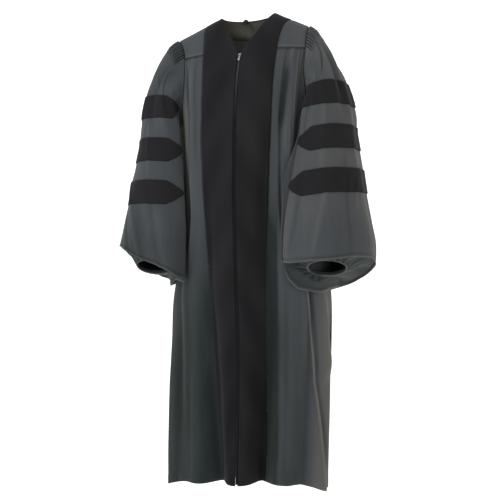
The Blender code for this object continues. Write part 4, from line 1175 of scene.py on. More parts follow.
def back_yoke_cloth():
    def place(u, v):
        share = mix(-ARMHOLE_CORNER, ARMHOLE_CORNER, u)
        size = abs(share)
        top = NAPE_LEVELS[1] * quarter(min(size / VELVET_RIDGE_SHARE, 1.0))
        top += SEAM_GAP / YOKE_LENGTH
        if v <= 1.0 - UNDER_SHARE:
            level, under = mix(1.0, top, v / (1.0 - UNDER_SHARE)), 0.0
        else:
            under = (v - 1.0 + UNDER_SHARE) / UNDER_SHARE
            level = max(0.004, top - under * UNDER_VELVET / YOKE_LENGTH)
        point = yoke_point(False, LEFT if share >= 0.0 else RIGHT, size, level)
        lift, shade = seams(
            (ARMHOLE_CORNER - size) * SIDE_LENGTH,
            (1.0 - level) * YOKE_LENGTH,
            (level - top) * YOKE_LENGTH,
            size * SIDE_LENGTH + 0.0005,
        )
        lift -= UNDER_DEPTH * ramp(under, 0.0, 0.35)
        # Painted shade where the yoke runs under the velvet.
        return point, lift, max(-1.0, shade - 0.4 * ramp(under, 0.0, 0.3))

    bm = sewn_grid(110, 44, BACK_YOKE_CUT, place, INSIDE_CHEST)
    cloth_piece(
        "yoke_back_cloth", bm, CLOTH, "yoke_back", "grey_cloth", (gown_cloth, cloth_back), "hung",
        flat=BACK_YOKE_CUT, area=BACK_YOKE_CUT[0] * BACK_YOKE_CUT[1] * 0.8,
        rests_on=["velvet_left"], with_pieces=[ribbon],
    )


back_yoke_cloth()

# %% [markdown]
# The back is the fullest piece. Cartridge pleats draw it in under the yoke: rows of gathering
# thread pull the cloth into even upright flutes, and below the threads they open into the deep
# folds. Each flute is a round ridge with a sharp gap beside it, so its profile is a rectified
# sine, not a plain one.

# %% Pleated back
NECK_COLUMNS = 12
BACK_GRID = (300, 140)
BACK_CUT = (0.84, 1.24)
BACK_CREASES = (
    #      across  z      across  z      half_width rise
    Crease(-0.60, -0.190, -0.640, -0.700, 0.0070, -0.0040),
    Crease(-0.44, -0.190, -0.450, -0.540, 0.0060, -0.0050),
    Crease(-0.27, -0.190, -0.280, -0.860, 0.0080, -0.0050),
    Crease(-0.11, -0.190, -0.120, -0.620, 0.0060, -0.0060),
    Crease(0.06, -0.190, 0.060, -0.980, 0.0080, -0.0050),
    Crease(0.22, -0.190, 0.230, -0.600, 0.0060, -0.0055),
    Crease(0.40, -0.190, 0.410, -0.900, 0.0080, -0.0050),
    Crease(0.57, -0.190, 0.600, -0.640, 0.0070, -0.0045),
    Crease(-0.78, -0.330, -0.780, -1.000, 0.0080, -0.0040),
    Crease(0.74, -0.330, 0.760, -1.060, 0.0080, -0.0040),
    Crease(-0.36, -0.900, -0.380, -1.360, 0.0080, -0.0040),
    Crease(0.14, -0.960, 0.150, -1.360, 0.0080, -0.0045),
)


def flute(turns):
    """The round-topped profile of cartridge pleats, 1 on a ridge and -1 in the gap."""
    return 2.0 * abs(math.cos(math.pi * turns)) ** 0.75 - 1.0


def back_cloth():
    length = BACK_HEM - BACK_YOKE_DROP
    pleats = VELVET_RIDGE_SHARE / NECK_COLUMNS

    def place(u, v):
        across = mix(-1.0, 1.0, u)
        size = min(abs(across), 1.0 - gap_share(SEAM_GAP / 2, -0.8))
        side = LEFT if across >= 0.0 else RIGHT
        z = sheet_height(False, side, size, v)
        point = ring_point(False, side, size, z)
        below = max(0.0, -z - BACK_YOKE_DROP)
        opened = ramp(below, BACK_PLEAT_BAND * 0.7, BACK_PLEAT_BAND * 2.2)
        held = ramp(below, 0.0, 0.004) * (1.0 - opened)
        held *= 1.0 - ramp(size, ARMHOLE_CORNER - 0.03, ARMHOLE_CORNER)
        fluted = flute(size / pleats) * held
        rise = creased(BACK_CREASES, across, z, HALF_AROUND)
        big = back_fold(across, z)
        dip, dark = seams((1.0 - v) * length, (1.0 - size) * HALF_AROUND)
        hem_lift, hem_dark = hem(v * length)
        # Painted shade in the flutes' gaps and the troughs, painted light on the ridges.
        shade = dark + hem_dark + 0.8 * min(0.0, fluted) + cloth_shade(rise)
        shade += 0.6 * cloth_shade(big * 0.3)
        lift = dip + hem_lift + rise + PLEAT_RISE * fluted
        return point, lift, limited(shade)

    bm = sewn_grid(*BACK_GRID, BACK_CUT, place, Vector((0.0, 0.0, -0.7)))
    cloth_piece(
        "back_cloth", bm, CLOTH, "back", "grey_cloth", (gown_cloth, cloth_back), "gathered",
        flat=BACK_CUT, area=BACK_CUT[0] * BACK_CUT[1] * 0.88, rests_on=["yoke_back"],
    )


back_cloth()

# %% [markdown]
# A bell sleeve is a surface of its own. Its columns start at the armhole, each with the armhole's
# place and direction, and run down a curve to a ring of the table, then down the rings to the
# hem. Where the sleeve would run into the body it is moved aside, outwards or in front of the
# hip, as the body does to real cloth.

# %% The sleeves' rings, folds and hems
class SleeveRing(NamedTuple):
    """The bell sleeves' outline at one height, before the body presses it. The x of each
    middle is its distance outwards."""

    z: float
    left_x: float
    left_y: float
    right_x: float
    right_y: float
    half_width: float
    half_depth: float
    turn: float


SLEEVE_RINGS = (
    #          z      left_x left_y  right_x right_y half_width half_depth turn
    SleeveRing(-0.360, 0.220, -0.020, 0.238, -0.008, 0.085, 0.100, 12.0),
    SleeveRing(-0.450, 0.226, -0.036, 0.242, -0.018, 0.095, 0.115, 14.0),
    SleeveRing(-0.530, 0.232, -0.048, 0.247, -0.026, 0.103, 0.126, 15.0),
    SleeveRing(-0.610, 0.239, -0.060, 0.252, -0.034, 0.112, 0.136, 15.0),
    SleeveRing(-0.680, 0.245, -0.068, 0.257, -0.040, 0.119, 0.142, 15.0),
    SleeveRing(-0.810, 0.245, -0.074, 0.256, -0.044, 0.113, 0.134, 15.0),
)
SLEEVE_CLEAR_OF_BODY = {LEFT: 0.020, RIGHT: 0.015}
# The sleeves hang in front of the hips, most so below the second height.
IN_FRONT_STARTS, IN_FRONT_FULL = -0.28, -0.52
IN_FRONT = {LEFT: 1.0, RIGHT: 0.5}
# How far the pleated head reaches out, and how soon it falls.
SLEEVE_TOP_OUT = {LEFT: 0.152, RIGHT: 0.215}
SLEEVE_TOP_DOWN = 0.072
SLEEVE_LOW_OUT = 0.045


class SleeveFold(NamedTuple):
    """A soft ridge or trough that runs down a sleeve, by its angle round the sleeve."""

    at_top: float
    at_hem: float
    half_width: float
    rise: float
    starts: float
    full: float
    fades: float


# Angles are degrees from the outer line of the sleeve, positive towards its front.
SLEEVE_FOLDS = {
    LEFT: (
        #          at_top at_hem width rise   starts full  fades
        SleeveFold(22.0, 20.0, 9.0, -0.006, -0.09, -0.15, -0.30),
        SleeveFold(40.0, 34.0, 9.0, 0.005, -0.09, -0.16, -0.34),
        SleeveFold(74.0, 80.0, 10.0, -0.005, -0.12, -0.18, -0.30),
        SleeveFold(10.0, -4.0, 10.0, 0.004, -0.20, -0.36, -9.0),
        SleeveFold(118.0, 132.0, 16.0, 0.008, -0.40, -0.64, -9.0),
        SleeveFold(160.0, 168.0, 18.0, -0.008, -0.40, -0.64, -9.0),
    ),
    RIGHT: (
        #          at_top at_hem width rise   starts full  fades
        SleeveFold(30.0, 26.0, 9.0, 0.006, -0.09, -0.15, -0.34),
        SleeveFold(56.0, 60.0, 9.0, -0.006, -0.10, -0.16, -0.34),
        SleeveFold(84.0, 92.0, 11.0, 0.005, -0.14, -0.20, -0.36),
        SleeveFold(-8.0, 66.0, 14.0, -0.009, -0.46, -0.60, -9.0),
        SleeveFold(22.0, 100.0, 16.0, 0.007, -0.48, -0.62, -9.0),
    ),
    BOTH: (
        #          at_top at_hem width rise   starts full  fades
        SleeveFold(-34.0, -30.0, 12.0, 0.006, -0.10, -0.20, -9.0),
        SleeveFold(-62.0, -66.0, 12.0, -0.008, -0.12, -0.24, -9.0),
        SleeveFold(-92.0, -100.0, 14.0, 0.010, -0.16, -0.40, -9.0),
        SleeveFold(-124.0, -134.0, 14.0, -0.010, -0.30, -0.50, -9.0),
    ),
}


class HemPoint(NamedTuple):
    """Height of each sleeve's lower edge, by the angle from the outer line."""

    angle: float
    left: float
    right: float


SLEEVE_HEM = (
    #         angle  left    right
    HemPoint(-180.0, -0.738, -0.752),
    HemPoint(-150.0, -0.788, -0.772),
    HemPoint(-120.0, -0.803, -0.768),
    HemPoint(-90.0, -0.785, -0.746),
    HemPoint(-60.0, -0.764, -0.713),
    HemPoint(-30.0, -0.730, -0.662),
    HemPoint(0.0, -0.710, -0.646),
    HemPoint(30.0, -0.705, -0.653),
    HemPoint(60.0, -0.711, -0.683),
    HemPoint(90.0, -0.713, -0.706),
    HemPoint(120.0, -0.716, -0.742),
    HemPoint(150.0, -0.712, -0.760),
    HemPoint(180.0, -0.738, -0.752),
)
WRIST_MIDDLE = {LEFT: Vector((0.247, -0.118, -0.735)), RIGHT: Vector((-0.256, -0.080, -0.714))}
WRIST_HALF_WIDTH = 0.052
WRIST_HALF_DEPTH = 0.044
WRIST_TILT = 0.50
# How much further from the body the turned-in end keeps than the sleeve does.
RETURN_CLEARER = 0.013
RETURN_DOME = 0.008
RETURN_PUCKER = 0.005
RETURN_PUCKERS = 7
YOKE_ROWS = 5
# Shares of the way from the armhole's corner to the side seam.
FRONT_ARMHOLE_COLUMNS = (0.0, 0.05, 0.16, 0.33, 0.55, 0.78, 1.0)
BACK_ARMHOLE_COLUMNS = (0.0, 0.04, 0.11, 0.2, 0.33, 0.48, 0.65, 0.82, 1.0)
# The pleated head takes HEAD_COLUMNS of the sleeve's columns, four to a row of the yokes,
# and the rest are two to a column of the armhole.
HEAD_COLUMNS = 4 * 2 * YOKE_ROWS
LOW_COLUMNS = 2 * (len(FRONT_ARMHOLE_COLUMNS) + len(BACK_ARMHOLE_COLUMNS) - 2)
SLEEVE_COLUMNS = HEAD_COLUMNS + LOW_COLUMNS
HEAD_ANGLE = 62.0
SLEEVE_HEAD_END = 0.18
SLEEVE_LAST_ROWS = (0.75, 1.0)
# The normals are taken a little inside the sleeve's two ends.
FIRST_NORMAL, LAST_NORMAL = 0.02, 1.985
# The turned-in end starts a little above the sleeve's edge, close to the wall's inner face.
RETURN_START = 0.94
RETURN_INSIDE = CLOTH + 0.0022


def armhole_line(side):
    """Points and normals round the armhole, from the shoulder seam down the front,
    under the arm and up the back."""
    line = []
    for k in range(YOKE_ROWS + 1):
        line.append((True, ARMHOLE_CORNER, mix(SEAM_GAP / YOKE_LENGTH, 1.0, k / YOKE_ROWS)))
    for along in FRONT_ARMHOLE_COLUMNS[1:]:
        line.append((True, mix(ARMHOLE_CORNER, 1.0, along), armhole_level(True, along)))
    for along in BACK_ARMHOLE_COLUMNS[-2:0:-1]:
        line.append((False, mix(ARMHOLE_CORNER, 1.0, along), armhole_level(False, along)))
    for k in range(YOKE_ROWS, 0, -1):
        line.append((False, ARMHOLE_CORNER, k / YOKE_ROWS))
    points = [body_point(front, side, share, level) for front, share, level in line]
    normals = [body_normal(front, side, share, level) for front, share, level in line]
    return points, normals


def hem_height(side, angle):
    angle = (angle + 180.0) % 360.0 - 180.0
    for before, after in zip(SLEEVE_HEM, SLEEVE_HEM[1:]):
        if angle <= after.angle:
            break
    share = (angle - before.angle) / (after.angle - before.angle)
    if side == LEFT:
        return mix(before.left, after.left, share)
    return mix(before.right, after.right, share)


def sleeve_fold(side, angle, z):
    rise = 0.0
    for fold in (*SLEEVE_FOLDS[side], *SLEEVE_FOLDS[BOTH]):
        if z < fold.starts:
            grown = ramp(-z, -fold.starts, -fold.full)
            kept = 1.0 - ramp(-z, -fold.fades - 0.08, -fold.fades)
            place = mix(fold.at_top, fold.at_hem, ramp(-z, 0.10, 0.74))
            apart = (angle - place + 180.0) % 360.0 - 180.0
            rise += fold.rise * grown * kept * bump(apart, fold.half_width)
    return rise


def clear_of_body(side, point, extra=0.0):
    """Moves a sleeve point out of the space that the body takes: outwards beside the chest,
    and forwards where the sleeve hangs in front of the hip."""
    half_width, front_y, back_y, side_y, middle_x = smooth_row(BODY_LEVELS, max(point.z, -0.9))
    clear = SLEEVE_CLEAR_OF_BODY[side] + extra
    wide = half_width + clear

    def outwards(place):
        deep = clear + ((side_y - front_y) if place.y < side_y else (back_y - side_y))
        reach = math.hypot((place.x - middle_x) / wide, (place.y - side_y) / deep)
        if reach >= 1.0 or reach < 0.05:
            return place
        x = middle_x + (place.x - middle_x) / reach
        return Vector((x, side_y + (place.y - side_y) / reach, place.z))

    across = (point.x - middle_x) / wide
    if abs(across) >= 1.0:
        return outwards(point)
    limit = side_y - (side_y - front_y + clear) * math.sqrt(1.0 - across * across)
    forwards = Vector((point.x, min(point.y, limit), point.z))
    in_front = IN_FRONT[side] * ramp(-point.z, -IN_FRONT_STARTS, -IN_FRONT_FULL)
    return outwards(outwards(point).lerp(forwards, in_front))


def sleeve_ring(side, angle, z):
    left_x, left_y, right_x, right_y, half_width, half_depth, turn = smooth_row(SLEEVE_RINGS, z)
    middle_x, middle_y = (left_x, left_y) if side == LEFT else (right_x, right_y)
    a, b = math.radians(angle), math.radians(turn)
    rise = sleeve_fold(side, angle, z)
    wide = (half_width + rise) * math.cos(a)
    deep = -(half_depth + rise) * math.sin(a)
    across = wide * math.cos(b) + deep * math.sin(b)
    along = deep * math.cos(b) - wide * math.sin(b)
    return clear_of_body(side, Vector((side * (middle_x + across), middle_y + along, z)))


print("sleeve columns:", SLEEVE_COLUMNS)

# %% [markdown]
# The class below holds one sleeve's surface. The armhole's points are worked out once, and then
# any place on the sleeve is asked for by its share of the way round and how far down it is.

# %% One bell sleeve's surface
class Sleeve:
    """One bell sleeve: part is the share of the way round, starting at the shoulder seam."""

    def __init__(self, side):
        self.side = side
        self.points, self.normals = armhole_line(side)

    def start(self, part):
        """The armhole's point and normal. The sleeve's columns meet the armhole's points."""
        column = (part % 1.0) * SLEEVE_COLUMNS
        front_end = HEAD_COLUMNS / 2
        back_start = SLEEVE_COLUMNS - HEAD_COLUMNS / 2
        if column <= front_end:
            station = column / 4
        elif column < back_start:
            station = YOKE_ROWS + (column - front_end) / 2
        else:
            station = len(self.points) - YOKE_ROWS + (column - back_start) / 4
        before = int(station) % len(self.points)
        after = (before + 1) % len(self.points)
        share = station - int(station)
        point = self.points[before].lerp(self.points[after], share)
        return point, self.normals[before].lerp(self.normals[after], share).normalized()

    def angle(self, part, down):
        """Degrees from the outer line. The columns spread evenly as they leave the head."""
        head = HEAD_COLUMNS / SLEEVE_COLUMNS / 2
        signed = (part + 0.5) % 1.0 - 0.5
        if abs(signed) <= head:
            gathered = signed / head * HEAD_ANGLE
        else:
            beyond = (abs(signed) - head) / (0.5 - head)
            gathered = math.copysign(mix(HEAD_ANGLE, 180.0, beyond), signed)
        return mix(gathered, signed * 360.0, ramp(down, 0.05, 0.9))

    def point(self, part, down):
        """down 0 to 1 runs from the armhole to the first ring, and 1 to 2 on to the hem."""
        angle = self.angle(part, min(down, 1.0))
        first = SLEEVE_RINGS[0].z
        if down >= 1.0:
            z = mix(first, hem_height(self.side, angle), down - 1.0)
            return sleeve_ring(self.side, angle, z)
        begin, normal = self.start(part)
        end = sleeve_ring(self.side, angle, first)
        drop = begin.z - first
        top = ramp(drop, 0.05, 0.29)
        out = self.side * SLEEVE_TOP_OUT[self.side]
        head = Vector((out, (end.y - begin.y) * 0.6, -SLEEVE_TOP_DOWN))
        leaving = (normal * SLEEVE_LOW_OUT).lerp(head, top)
        arriving = Vector(((end.x - begin.x) * 0.15, (end.y - begin.y) * 0.25, -drop * 1.25))
        point = hermite(begin, leaving, end, arriving, down)
        settled = ramp(down, 0.0, 0.18) * (1.0 - ramp(down, 0.85, 1.0))
        turn = math.radians(angle)
        outer = Vector((self.side * math.cos(turn), -math.sin(turn), 0.0))
        point += outer * sleeve_fold(self.side, angle, point.z) * settled
        pushed = clear_of_body(self.side, point)
        return point.lerp(pushed, ramp(down, 0.12, 0.6))

    def normal(self, part, down):
        if down <= 0.0:
            return self.start(part)[1]
        step = (1.0 if down <= SLEEVE_HEAD_END else 2.0) / SLEEVE_COLUMNS
        low = min(max(down, FIRST_NORMAL), LAST_NORMAL)
        along = self.point(part + step, low) - self.point(part - step, low)
        fall = self.point(part, low + 0.015) - self.point(part, low - 0.015)
        normal = along.cross(fall).normalized()
        angle = math.radians(self.angle(part, min(down, 1.0)))
        outer = Vector((self.side * math.cos(angle), -math.sin(angle), 0.25))
        return normal if normal.dot(outer) > 0.0 else -normal

    def beyond(self, part):
        """The direction in the body's surface that leads away from the panels."""
        normal = self.start(part)[1]
        along = self.start(part + 0.004)[0] - self.start(part - 0.004)[0]
        away = along.cross(normal).normalized()
        return away if away.dot(Vector((self.side, 0.0, 1.0))) > 0.0 else -away

    def inside_edge(self, part):
        """Where the turned-in end starts, on the straight run between the wall's last rows."""
        upper, lower = (
            self.point(part, 1.0 + row) - self.normal(part, 1.0 + row) * RETURN_INSIDE
            for row in SLEEVE_LAST_ROWS
        )
        return upper.lerp(lower, RETURN_START)


sleeves = {side: Sleeve(side) for side in (LEFT, RIGHT)}
print("left sleeve's outer line ends at z", round(sleeves[LEFT].point(0.0, 2.0).z, 3))

# %% [markdown]
# The sleeve's cloth is one wide grid that closes round the arm, with its seam on the shoulder.
# Twenty cartridge pleats draw its head in at the armhole, and they run out into soft folds. The
# rest of the sleeve only has the creases of cloth that has been hung up, listed one by one.

# %% Sleeves
SLEEVE_GRID = (340, 112)
SLEEVE_CUT = (0.80, 0.62)
# Places round a sleeve are degrees from its outer line, positive towards the front.
SLEEVE_CREASES = {
    LEFT: (
        #      across  z       across  z      half_width rise
        Crease(30.0, -0.085, 62.0, -0.200, 0.0040, -0.0060),
        Crease(4.0, -0.120, 14.0, -0.240, 0.0070, 0.0030),
        Crease(76.0, -0.140, 100.0, -0.240, 0.0070, 0.0040),
        Crease(44.0, -0.262, 26.0, -0.325, 0.0032, 0.0045),
        Crease(9.0, -0.390, 5.0, -0.450, 0.0032, 0.0045),
        Crease(8.0, -0.495, 18.0, -0.575, 0.0036, 0.0045),
        Crease(88.0, -0.160, 104.0, -0.400, 0.0060, -0.0040),
        Crease(62.0, -0.270, 66.0, -0.480, 0.0090, 0.0025),
        Crease(28.0, -0.430, 36.0, -0.690, 0.0070, -0.0035),
        Crease(60.0, -0.520, 84.0, -0.700, 0.0085, 0.0045),
        Crease(96.0, -0.480, 120.0, -0.690, 0.0085, -0.0045),
    ),
    RIGHT: (
        #      across  z       across  z      half_width rise
        Crease(40.0, -0.160, 64.0, -0.225, 0.0032, 0.0060),
        Crease(20.0, -0.130, 34.0, -0.225, 0.0060, -0.0050),
        Crease(66.0, -0.150, 96.0, -0.270, 0.0060, -0.0060),
        Crease(84.0, -0.150, 116.0, -0.280, 0.0070, -0.0060),
        Crease(44.0, -0.260, 36.0, -0.360, 0.0060, 0.0030),
        Crease(4.0, -0.330, 26.0, -0.450, 0.0080, -0.0035),
        Crease(50.0, -0.300, 66.0, -0.480, 0.0080, 0.0035),
        Crease(-4.0, -0.480, 62.0, -0.720, 0.0080, -0.0060),
        Crease(8.0, -0.450, 78.0, -0.730, 0.0080, 0.0045),
        Crease(64.0, -0.460, 100.0, -0.730, 0.0090, -0.0040),
    ),
    BOTH: (
        #      across  z       across  z      half_width rise
        Crease(-30.0, -0.160, -34.0, -0.520, 0.0080, 0.0040),
        Crease(-58.0, -0.150, -70.0, -0.620, 0.0090, -0.0050),
        Crease(-90.0, -0.180, -100.0, -0.680, 0.0090, 0.0045),
        Crease(-120.0, -0.240, -128.0, -0.700, 0.0080, -0.0045),
    ),
}
SLEEVE_RADIUS = 0.115
# Painted light and shade on the sleeves: the wearer's left is painted a little lighter, the right
# a little darker, and both are painted darker towards the hem.
SLEEVE_PAINTED_LIGHT_AND_SHADE = {LEFT: 0.15, RIGHT: -0.12}
SLEEVE_LOW_PAINTED_SHADE = 0.25
# Shares of the grid's height that the pleated head takes, and how far down it reaches.
HEAD_ROWS, HEAD_REACH = 0.26, 0.27
# The pleats of the cloth are a little fuller than the solids' ridges.
HEAD_PLEAT_RISE = 0.0038


def in_head(part):
    """1 where the sleeve's head is gathered, 0 along the front and the back of the armhole."""
    signed = abs((part + 0.5) % 1.0 - 0.5) * SLEEVE_COLUMNS
    return 1.0 - ramp(signed, HEAD_COLUMNS / 2 - 2.0, HEAD_COLUMNS / 2 + 1.0)


def flutes(part, down):
    """The lift of the head's cartridge pleats, from -1 to 1."""
    signed = ((part + 0.5) % 1.0 - 0.5) * SLEEVE_COLUMNS
    held = ramp(down, 0.0, 0.012) * (1.0 - ramp(down, 0.13, 0.22))
    return flute(signed / 2.0) * held * in_head(part)


def sleeve_spot(side, part, down):
    """A point of a sleeve, with the lift and shade of its creases and pleats."""
    sleeve = sleeves[side]
    point = sleeve.point(part, down)
    angle = (sleeve.angle(part, min(down, 1.0)) + 180.0) % 360.0 - 180.0
    width = math.radians(1.0) * SLEEVE_RADIUS
    rise = sum(creased(SLEEVE_CREASES[key], angle, point.z, width) for key in (side, BOTH))
    rise *= 0.7 * ramp(down, 0.05, 0.25)
    fluted = flutes(part, down)
    # Painted shade in pleat gaps, painted highlight on pleat ridges, creases painted by rise.
    shade = cloth_shade(rise) + 1.8 * min(0.0, fluted) + 0.3 * max(0.0, fluted)
    shade += 0.5 * cloth_shade(sleeve_fold(side, angle, point.z))
    # The gathered head is painted darker: painted shade.
    shade -= 0.45 * in_head(part) * (1.0 - ramp(down, 0.12, 0.17))
    shade += SLEEVE_PAINTED_LIGHT_AND_SHADE[side] - SLEEVE_LOW_PAINTED_SHADE * ramp(-point.z, 0.55, 0.68)
    return point, rise + HEAD_PLEAT_RISE * fluted, shade


def sleeve_cloth(side):
    name = f"sleeve_{SIDE_NAME[side]}"

    def place(u, v):
        far = 1.0 - v
        if far < HEAD_ROWS:
            down = far / HEAD_ROWS * HEAD_REACH
        else:
            down = mix(HEAD_REACH, 2.0, (far - HEAD_ROWS) / (1.0 - HEAD_ROWS))
        part = u % 1.0
        point, lift, shade = sleeve_spot(side, part, down)
        if down == 0.0:
            point = point + sleeves[side].beyond(part) * SEAM_GAP * 1.5
        dip, dark = seam(down * 0.30)
        edge = (2.0 - down) * 0.36
        # A painted highlight on the hem's roll, painted shade below it.
        roll, lit = rolled_hem(edge) if edge < 0.04 else (0.0, 0.0)
        dark *= mix(0.2, 1.0, in_head(part))
        return point, lift + dip * 0.5 + roll, limited(shade + dark + lit)

    inside = Vector((side * 0.24, -0.03, -0.40))
    bm = sewn_grid(*SLEEVE_GRID, SLEEVE_CUT, place, inside, tube=True)
    cloth_piece(
        f"{name}_cloth", bm, CLOTH, name, "grey_cloth", (gown_cloth,), "gathered",
        flat=SLEEVE_CUT, area=SLEEVE_CUT[0] * SLEEVE_CUT[1] * 0.85,
        rests_on=[f"yoke_front_{SIDE_NAME[side]}", "yoke_back"],
    )


for side in (LEFT, RIGHT):
    sleeve_cloth(side)

# %% [markdown]
# At its lower end each sleeve is turned in and drawn up to an oval opening for the wrist. Cloth
# that is gathered onto a smaller edge puckers, so the turned-in part has small radial folds that
# sharpen towards the opening, and its rim turns up inside as a narrow hem.

# %% Turned-in sleeve ends
RIM_TURN = 0.012
RIM_SHARE = 0.86
RIM_PUCKERS = 23
END_CUT = (0.72, 0.12)


@functools.cache
def turned_edge(side, part):
    return sleeves[side].inside_edge(part)


def turned_in(side, part, share):
    """A point of the turned-in end, from the sleeve's edge (0) to the opening's rim (1)."""
    angle = math.radians(part * 360.0)
    middle = WRIST_MIDDLE[side]
    across, deep = side * WRIST_HALF_WIDTH * math.cos(angle), WRIST_HALF_DEPTH * math.sin(angle)
    rim = middle + Vector((across, -deep, WRIST_TILT * deep))
    point = turned_edge(side, part).lerp(rim, share)
    swell = math.sin(math.pi * share)
    point.z += swell * (RETURN_DOME + RETURN_PUCKER * math.cos(RETURN_PUCKERS * angle))
    if 0.0 < share < 1.0:
        point = clear_of_body(side, point, RETURN_CLEARER * min(1.0, 2.0 * share))
    return point


def sleeve_end(side):
    name = f"sleeve_return_{SIDE_NAME[side]}"

    def place(u, v):
        part = round(u % 1.0, 6)
        if v <= RIM_SHARE:
            share = v / RIM_SHARE
            point = turned_in(side, part, share)
            turn = 2 * math.pi * part
            small = math.cos(RIM_PUCKERS * turn + 2.0 * math.sin(2 * turn))
            pucker = 0.0012 * small * ramp(share, 0.25, 0.95) * (1.0 - ramp(share, 0.97, 1.0))
            rim_lip = bump((1.0 - share) * 0.06, 0.0022)
            # Painted shade over the turned-in part, a painted highlight on the rim's lip.
            return point, pucker + 0.0008 * rim_lip, 300.0 * pucker - 0.75 + 1.7 * rim_lip
        up = (v - RIM_SHARE) / (1.0 - RIM_SHARE)
        rim = turned_in(side, part, 1.0)
        inwards = (WRIST_MIDDLE[side] - rim).normalized()
        rim += inwards * 0.0018 * math.sin(math.pi * min(1.0, up * 1.6))
        rim.z += RIM_TURN * up
        # A painted highlight on the rim's edge, painted shade inside the opening.
        return rim, 0.0, 0.8 * (1.0 - ramp(up, 0.0, 0.3)) - 0.9 * ramp(up, 0.1, 0.5)

    inside = Vector((side * 0.25, -0.09, -0.45))
    bm = sewn_grid(240, 34, END_CUT, place, inside, tube=True)
    cloth_piece(
        f"{name}_cloth", bm, CLOTH, name, "grey_cloth", (gown_cloth,), "gathered",
        flat=END_CUT, area=END_CUT[0] * END_CUT[1] * 0.6, rests_on=[f"sleeve_{SIDE_NAME[side]}"],
    )


for side in (LEFT, RIGHT):
    sleeve_end(side)

# %% [markdown]
# Three bars on each sleeve mark a doctor's gown. Each is a strip of the same velvet with its ends
# folded to points, and lies on the sleeve with its edges turned under, so the pile is full in
# the middle and rounds down to the grey cloth all round.

# %% Velvet bars
class Bar(NamedTuple):
    """One of the three velvet bars of a doctor's sleeve: its middle, and the column of each
    sleeve's wall, counted forwards from the outer line, that its front point ends on."""

    z: float
    left_column: int
    right_column: int


BARS = (
    #   z       left_column right_column
    Bar(-0.253, 14, 13),
    Bar(-0.377, 11, 12),
    Bar(-0.499, 12, 12),
)
BAR_HALF_HEIGHT = 0.034
BAR_BACK_COLUMN = -9
# Degrees round the sleeve that a point takes.
BAR_POINT = 30.0
BAR_POINT_ROUNDING = 0.75
BAR_TIP_HALF = 0.0012
# The bars drop a little towards their front points.
BAR_DROP = 0.010
BAR_LIFT = {LEFT: 0.0017, RIGHT: 0.0012}
BAR_WALL = 0.0016
BAR_CUTS = ((0.31, 0.068), (0.37, 0.068), (0.45, 0.068))
BAR_EDGE_ROLL = 0.0024


def heights_down(sleeve, part):
    """Places down one line of the sleeve with their heights, to find a height's place among."""
    downs = [0.01 + 1.74 * k / 90 for k in range(91)]
    return [(down, sleeve.point(part, down).z) for down in downs]


def down_at(places, z):
    """The place of a height on a line, or the line's start where the armhole is lower."""
    if z >= places[0][1]:
        return places[0][0]
    for (low, low_z), (high, high_z) in zip(places, places[1:]):
        if high_z <= z:
            return mix(low, high, (z - low_z) / (high_z - low_z))
    return places[-1][0]


def sleeve_bar_pile(side, number):
    sleeve, bar = sleeves[side], BARS[number]
    name = f"bar_{SIDE_NAME[side]}_{number + 1}"
    column_angle = 720.0 / SLEEVE_COLUMNS
    front_column = bar.left_column if side == LEFT else bar.right_column
    first, last = BAR_BACK_COLUMN * column_angle, front_column * column_angle
    lines = {}

    def place(u, v):
        angle = mix(first, last, u)
        part = angle / 360.0
        if part not in lines:
            lines[part] = heights_down(sleeve, part)
        to_tip = min(1.0, max(0.0, min(angle - first, last - angle)) / BAR_POINT)
        half = mix(BAR_TIP_HALF, BAR_HALF_HEIGHT, to_tip**BAR_POINT_ROUNDING)
        middle = bar.z - BAR_DROP * ramp(angle, 40.0, last)
        down = down_at(lines[part], middle + (2.0 * v - 1.0) * half)
        point, lift, shade = sleeve_spot(side, part % 1.0, down)
        edge = (1.0 - abs(2.0 * v - 1.0)) * half
        rolled = edge_roll(edge, BAR_EDGE_ROLL)
        lift += BAR_LIFT[side] + BAR_WALL * (1.0 - rolled)
        # The turned-under edges are painted darker: painted shade.
        return point, lift, 0.1 - 0.8 * rolled + 0.2 * shade

    cut = BAR_CUTS[number]
    bm = sewn_grid(100, 30, cut, place, Vector((side * 0.21, -0.02, bar.z)))
    cloth_piece(
        f"{name}_pile", bm, BAR_WALL, name, "black_velvet", (black_velvet,), "laid",
        flat=cut, area=cut[0] * cut[1] * 0.92, rests_on=[f"sleeve_{SIDE_NAME[side]}"],
    )


for side in (LEFT, RIGHT):
    for number in range(len(BARS)):
        sleeve_bar_pile(side, number)

# %% [markdown]
# The closed zip is two woven tapes with a row of moulded teeth between them. The teeth alternate:
# one from the left tape, one from the right, each a small rounded block whose head grips the
# next. A thousand of them are only a dark line from where the camera stands, with a glint here
# and there, and that glint is why they are modelled.

# %% Zip: materials and teeth
TOOTH_PITCH = 0.0022
TOOTH_HALF = (0.0014, 0.0009, 0.0008)


def smooth_material(name, hex_colour, worn, roughness, metallic=0.0):
    """Moulded plastic or metal: its colour and gloss vary a little with handling."""
    material, tree, shader = new_material(name, hex_colour, roughness, metallic)
    place = add(tree, "ShaderNodeTexCoord").outputs["Object"]
    handled = add(
        tree, "ShaderNodeTexNoise", {"Vector": place, "Scale": 700.0, "Detail": 3.0}
    )
    colour_stops(tree, shader, handled.outputs["Fac"], (0.3, hex_colour), (0.7, worn))
    rough = add(
        tree,
        "ShaderNodeMath",
        {0: handled.outputs["Fac"], 1: 0.25, 2: roughness - 0.12},
        operation="MULTIPLY_ADD",
    )
    tree.links.new(rough.outputs["Value"], shader.inputs["Roughness"])
    scratches = add(
        tree,
        "ShaderNodeBump",
        {"Height": handled.outputs["Fac"], "Strength": 0.15, "Distance": 0.0002},
    )
    tree.links.new(scratches.outputs["Normal"], shader.inputs["Normal"])
    return material


tooth_plastic = smooth_material("moulded_zip_teeth", "0B0B0C", "141416", 0.62)
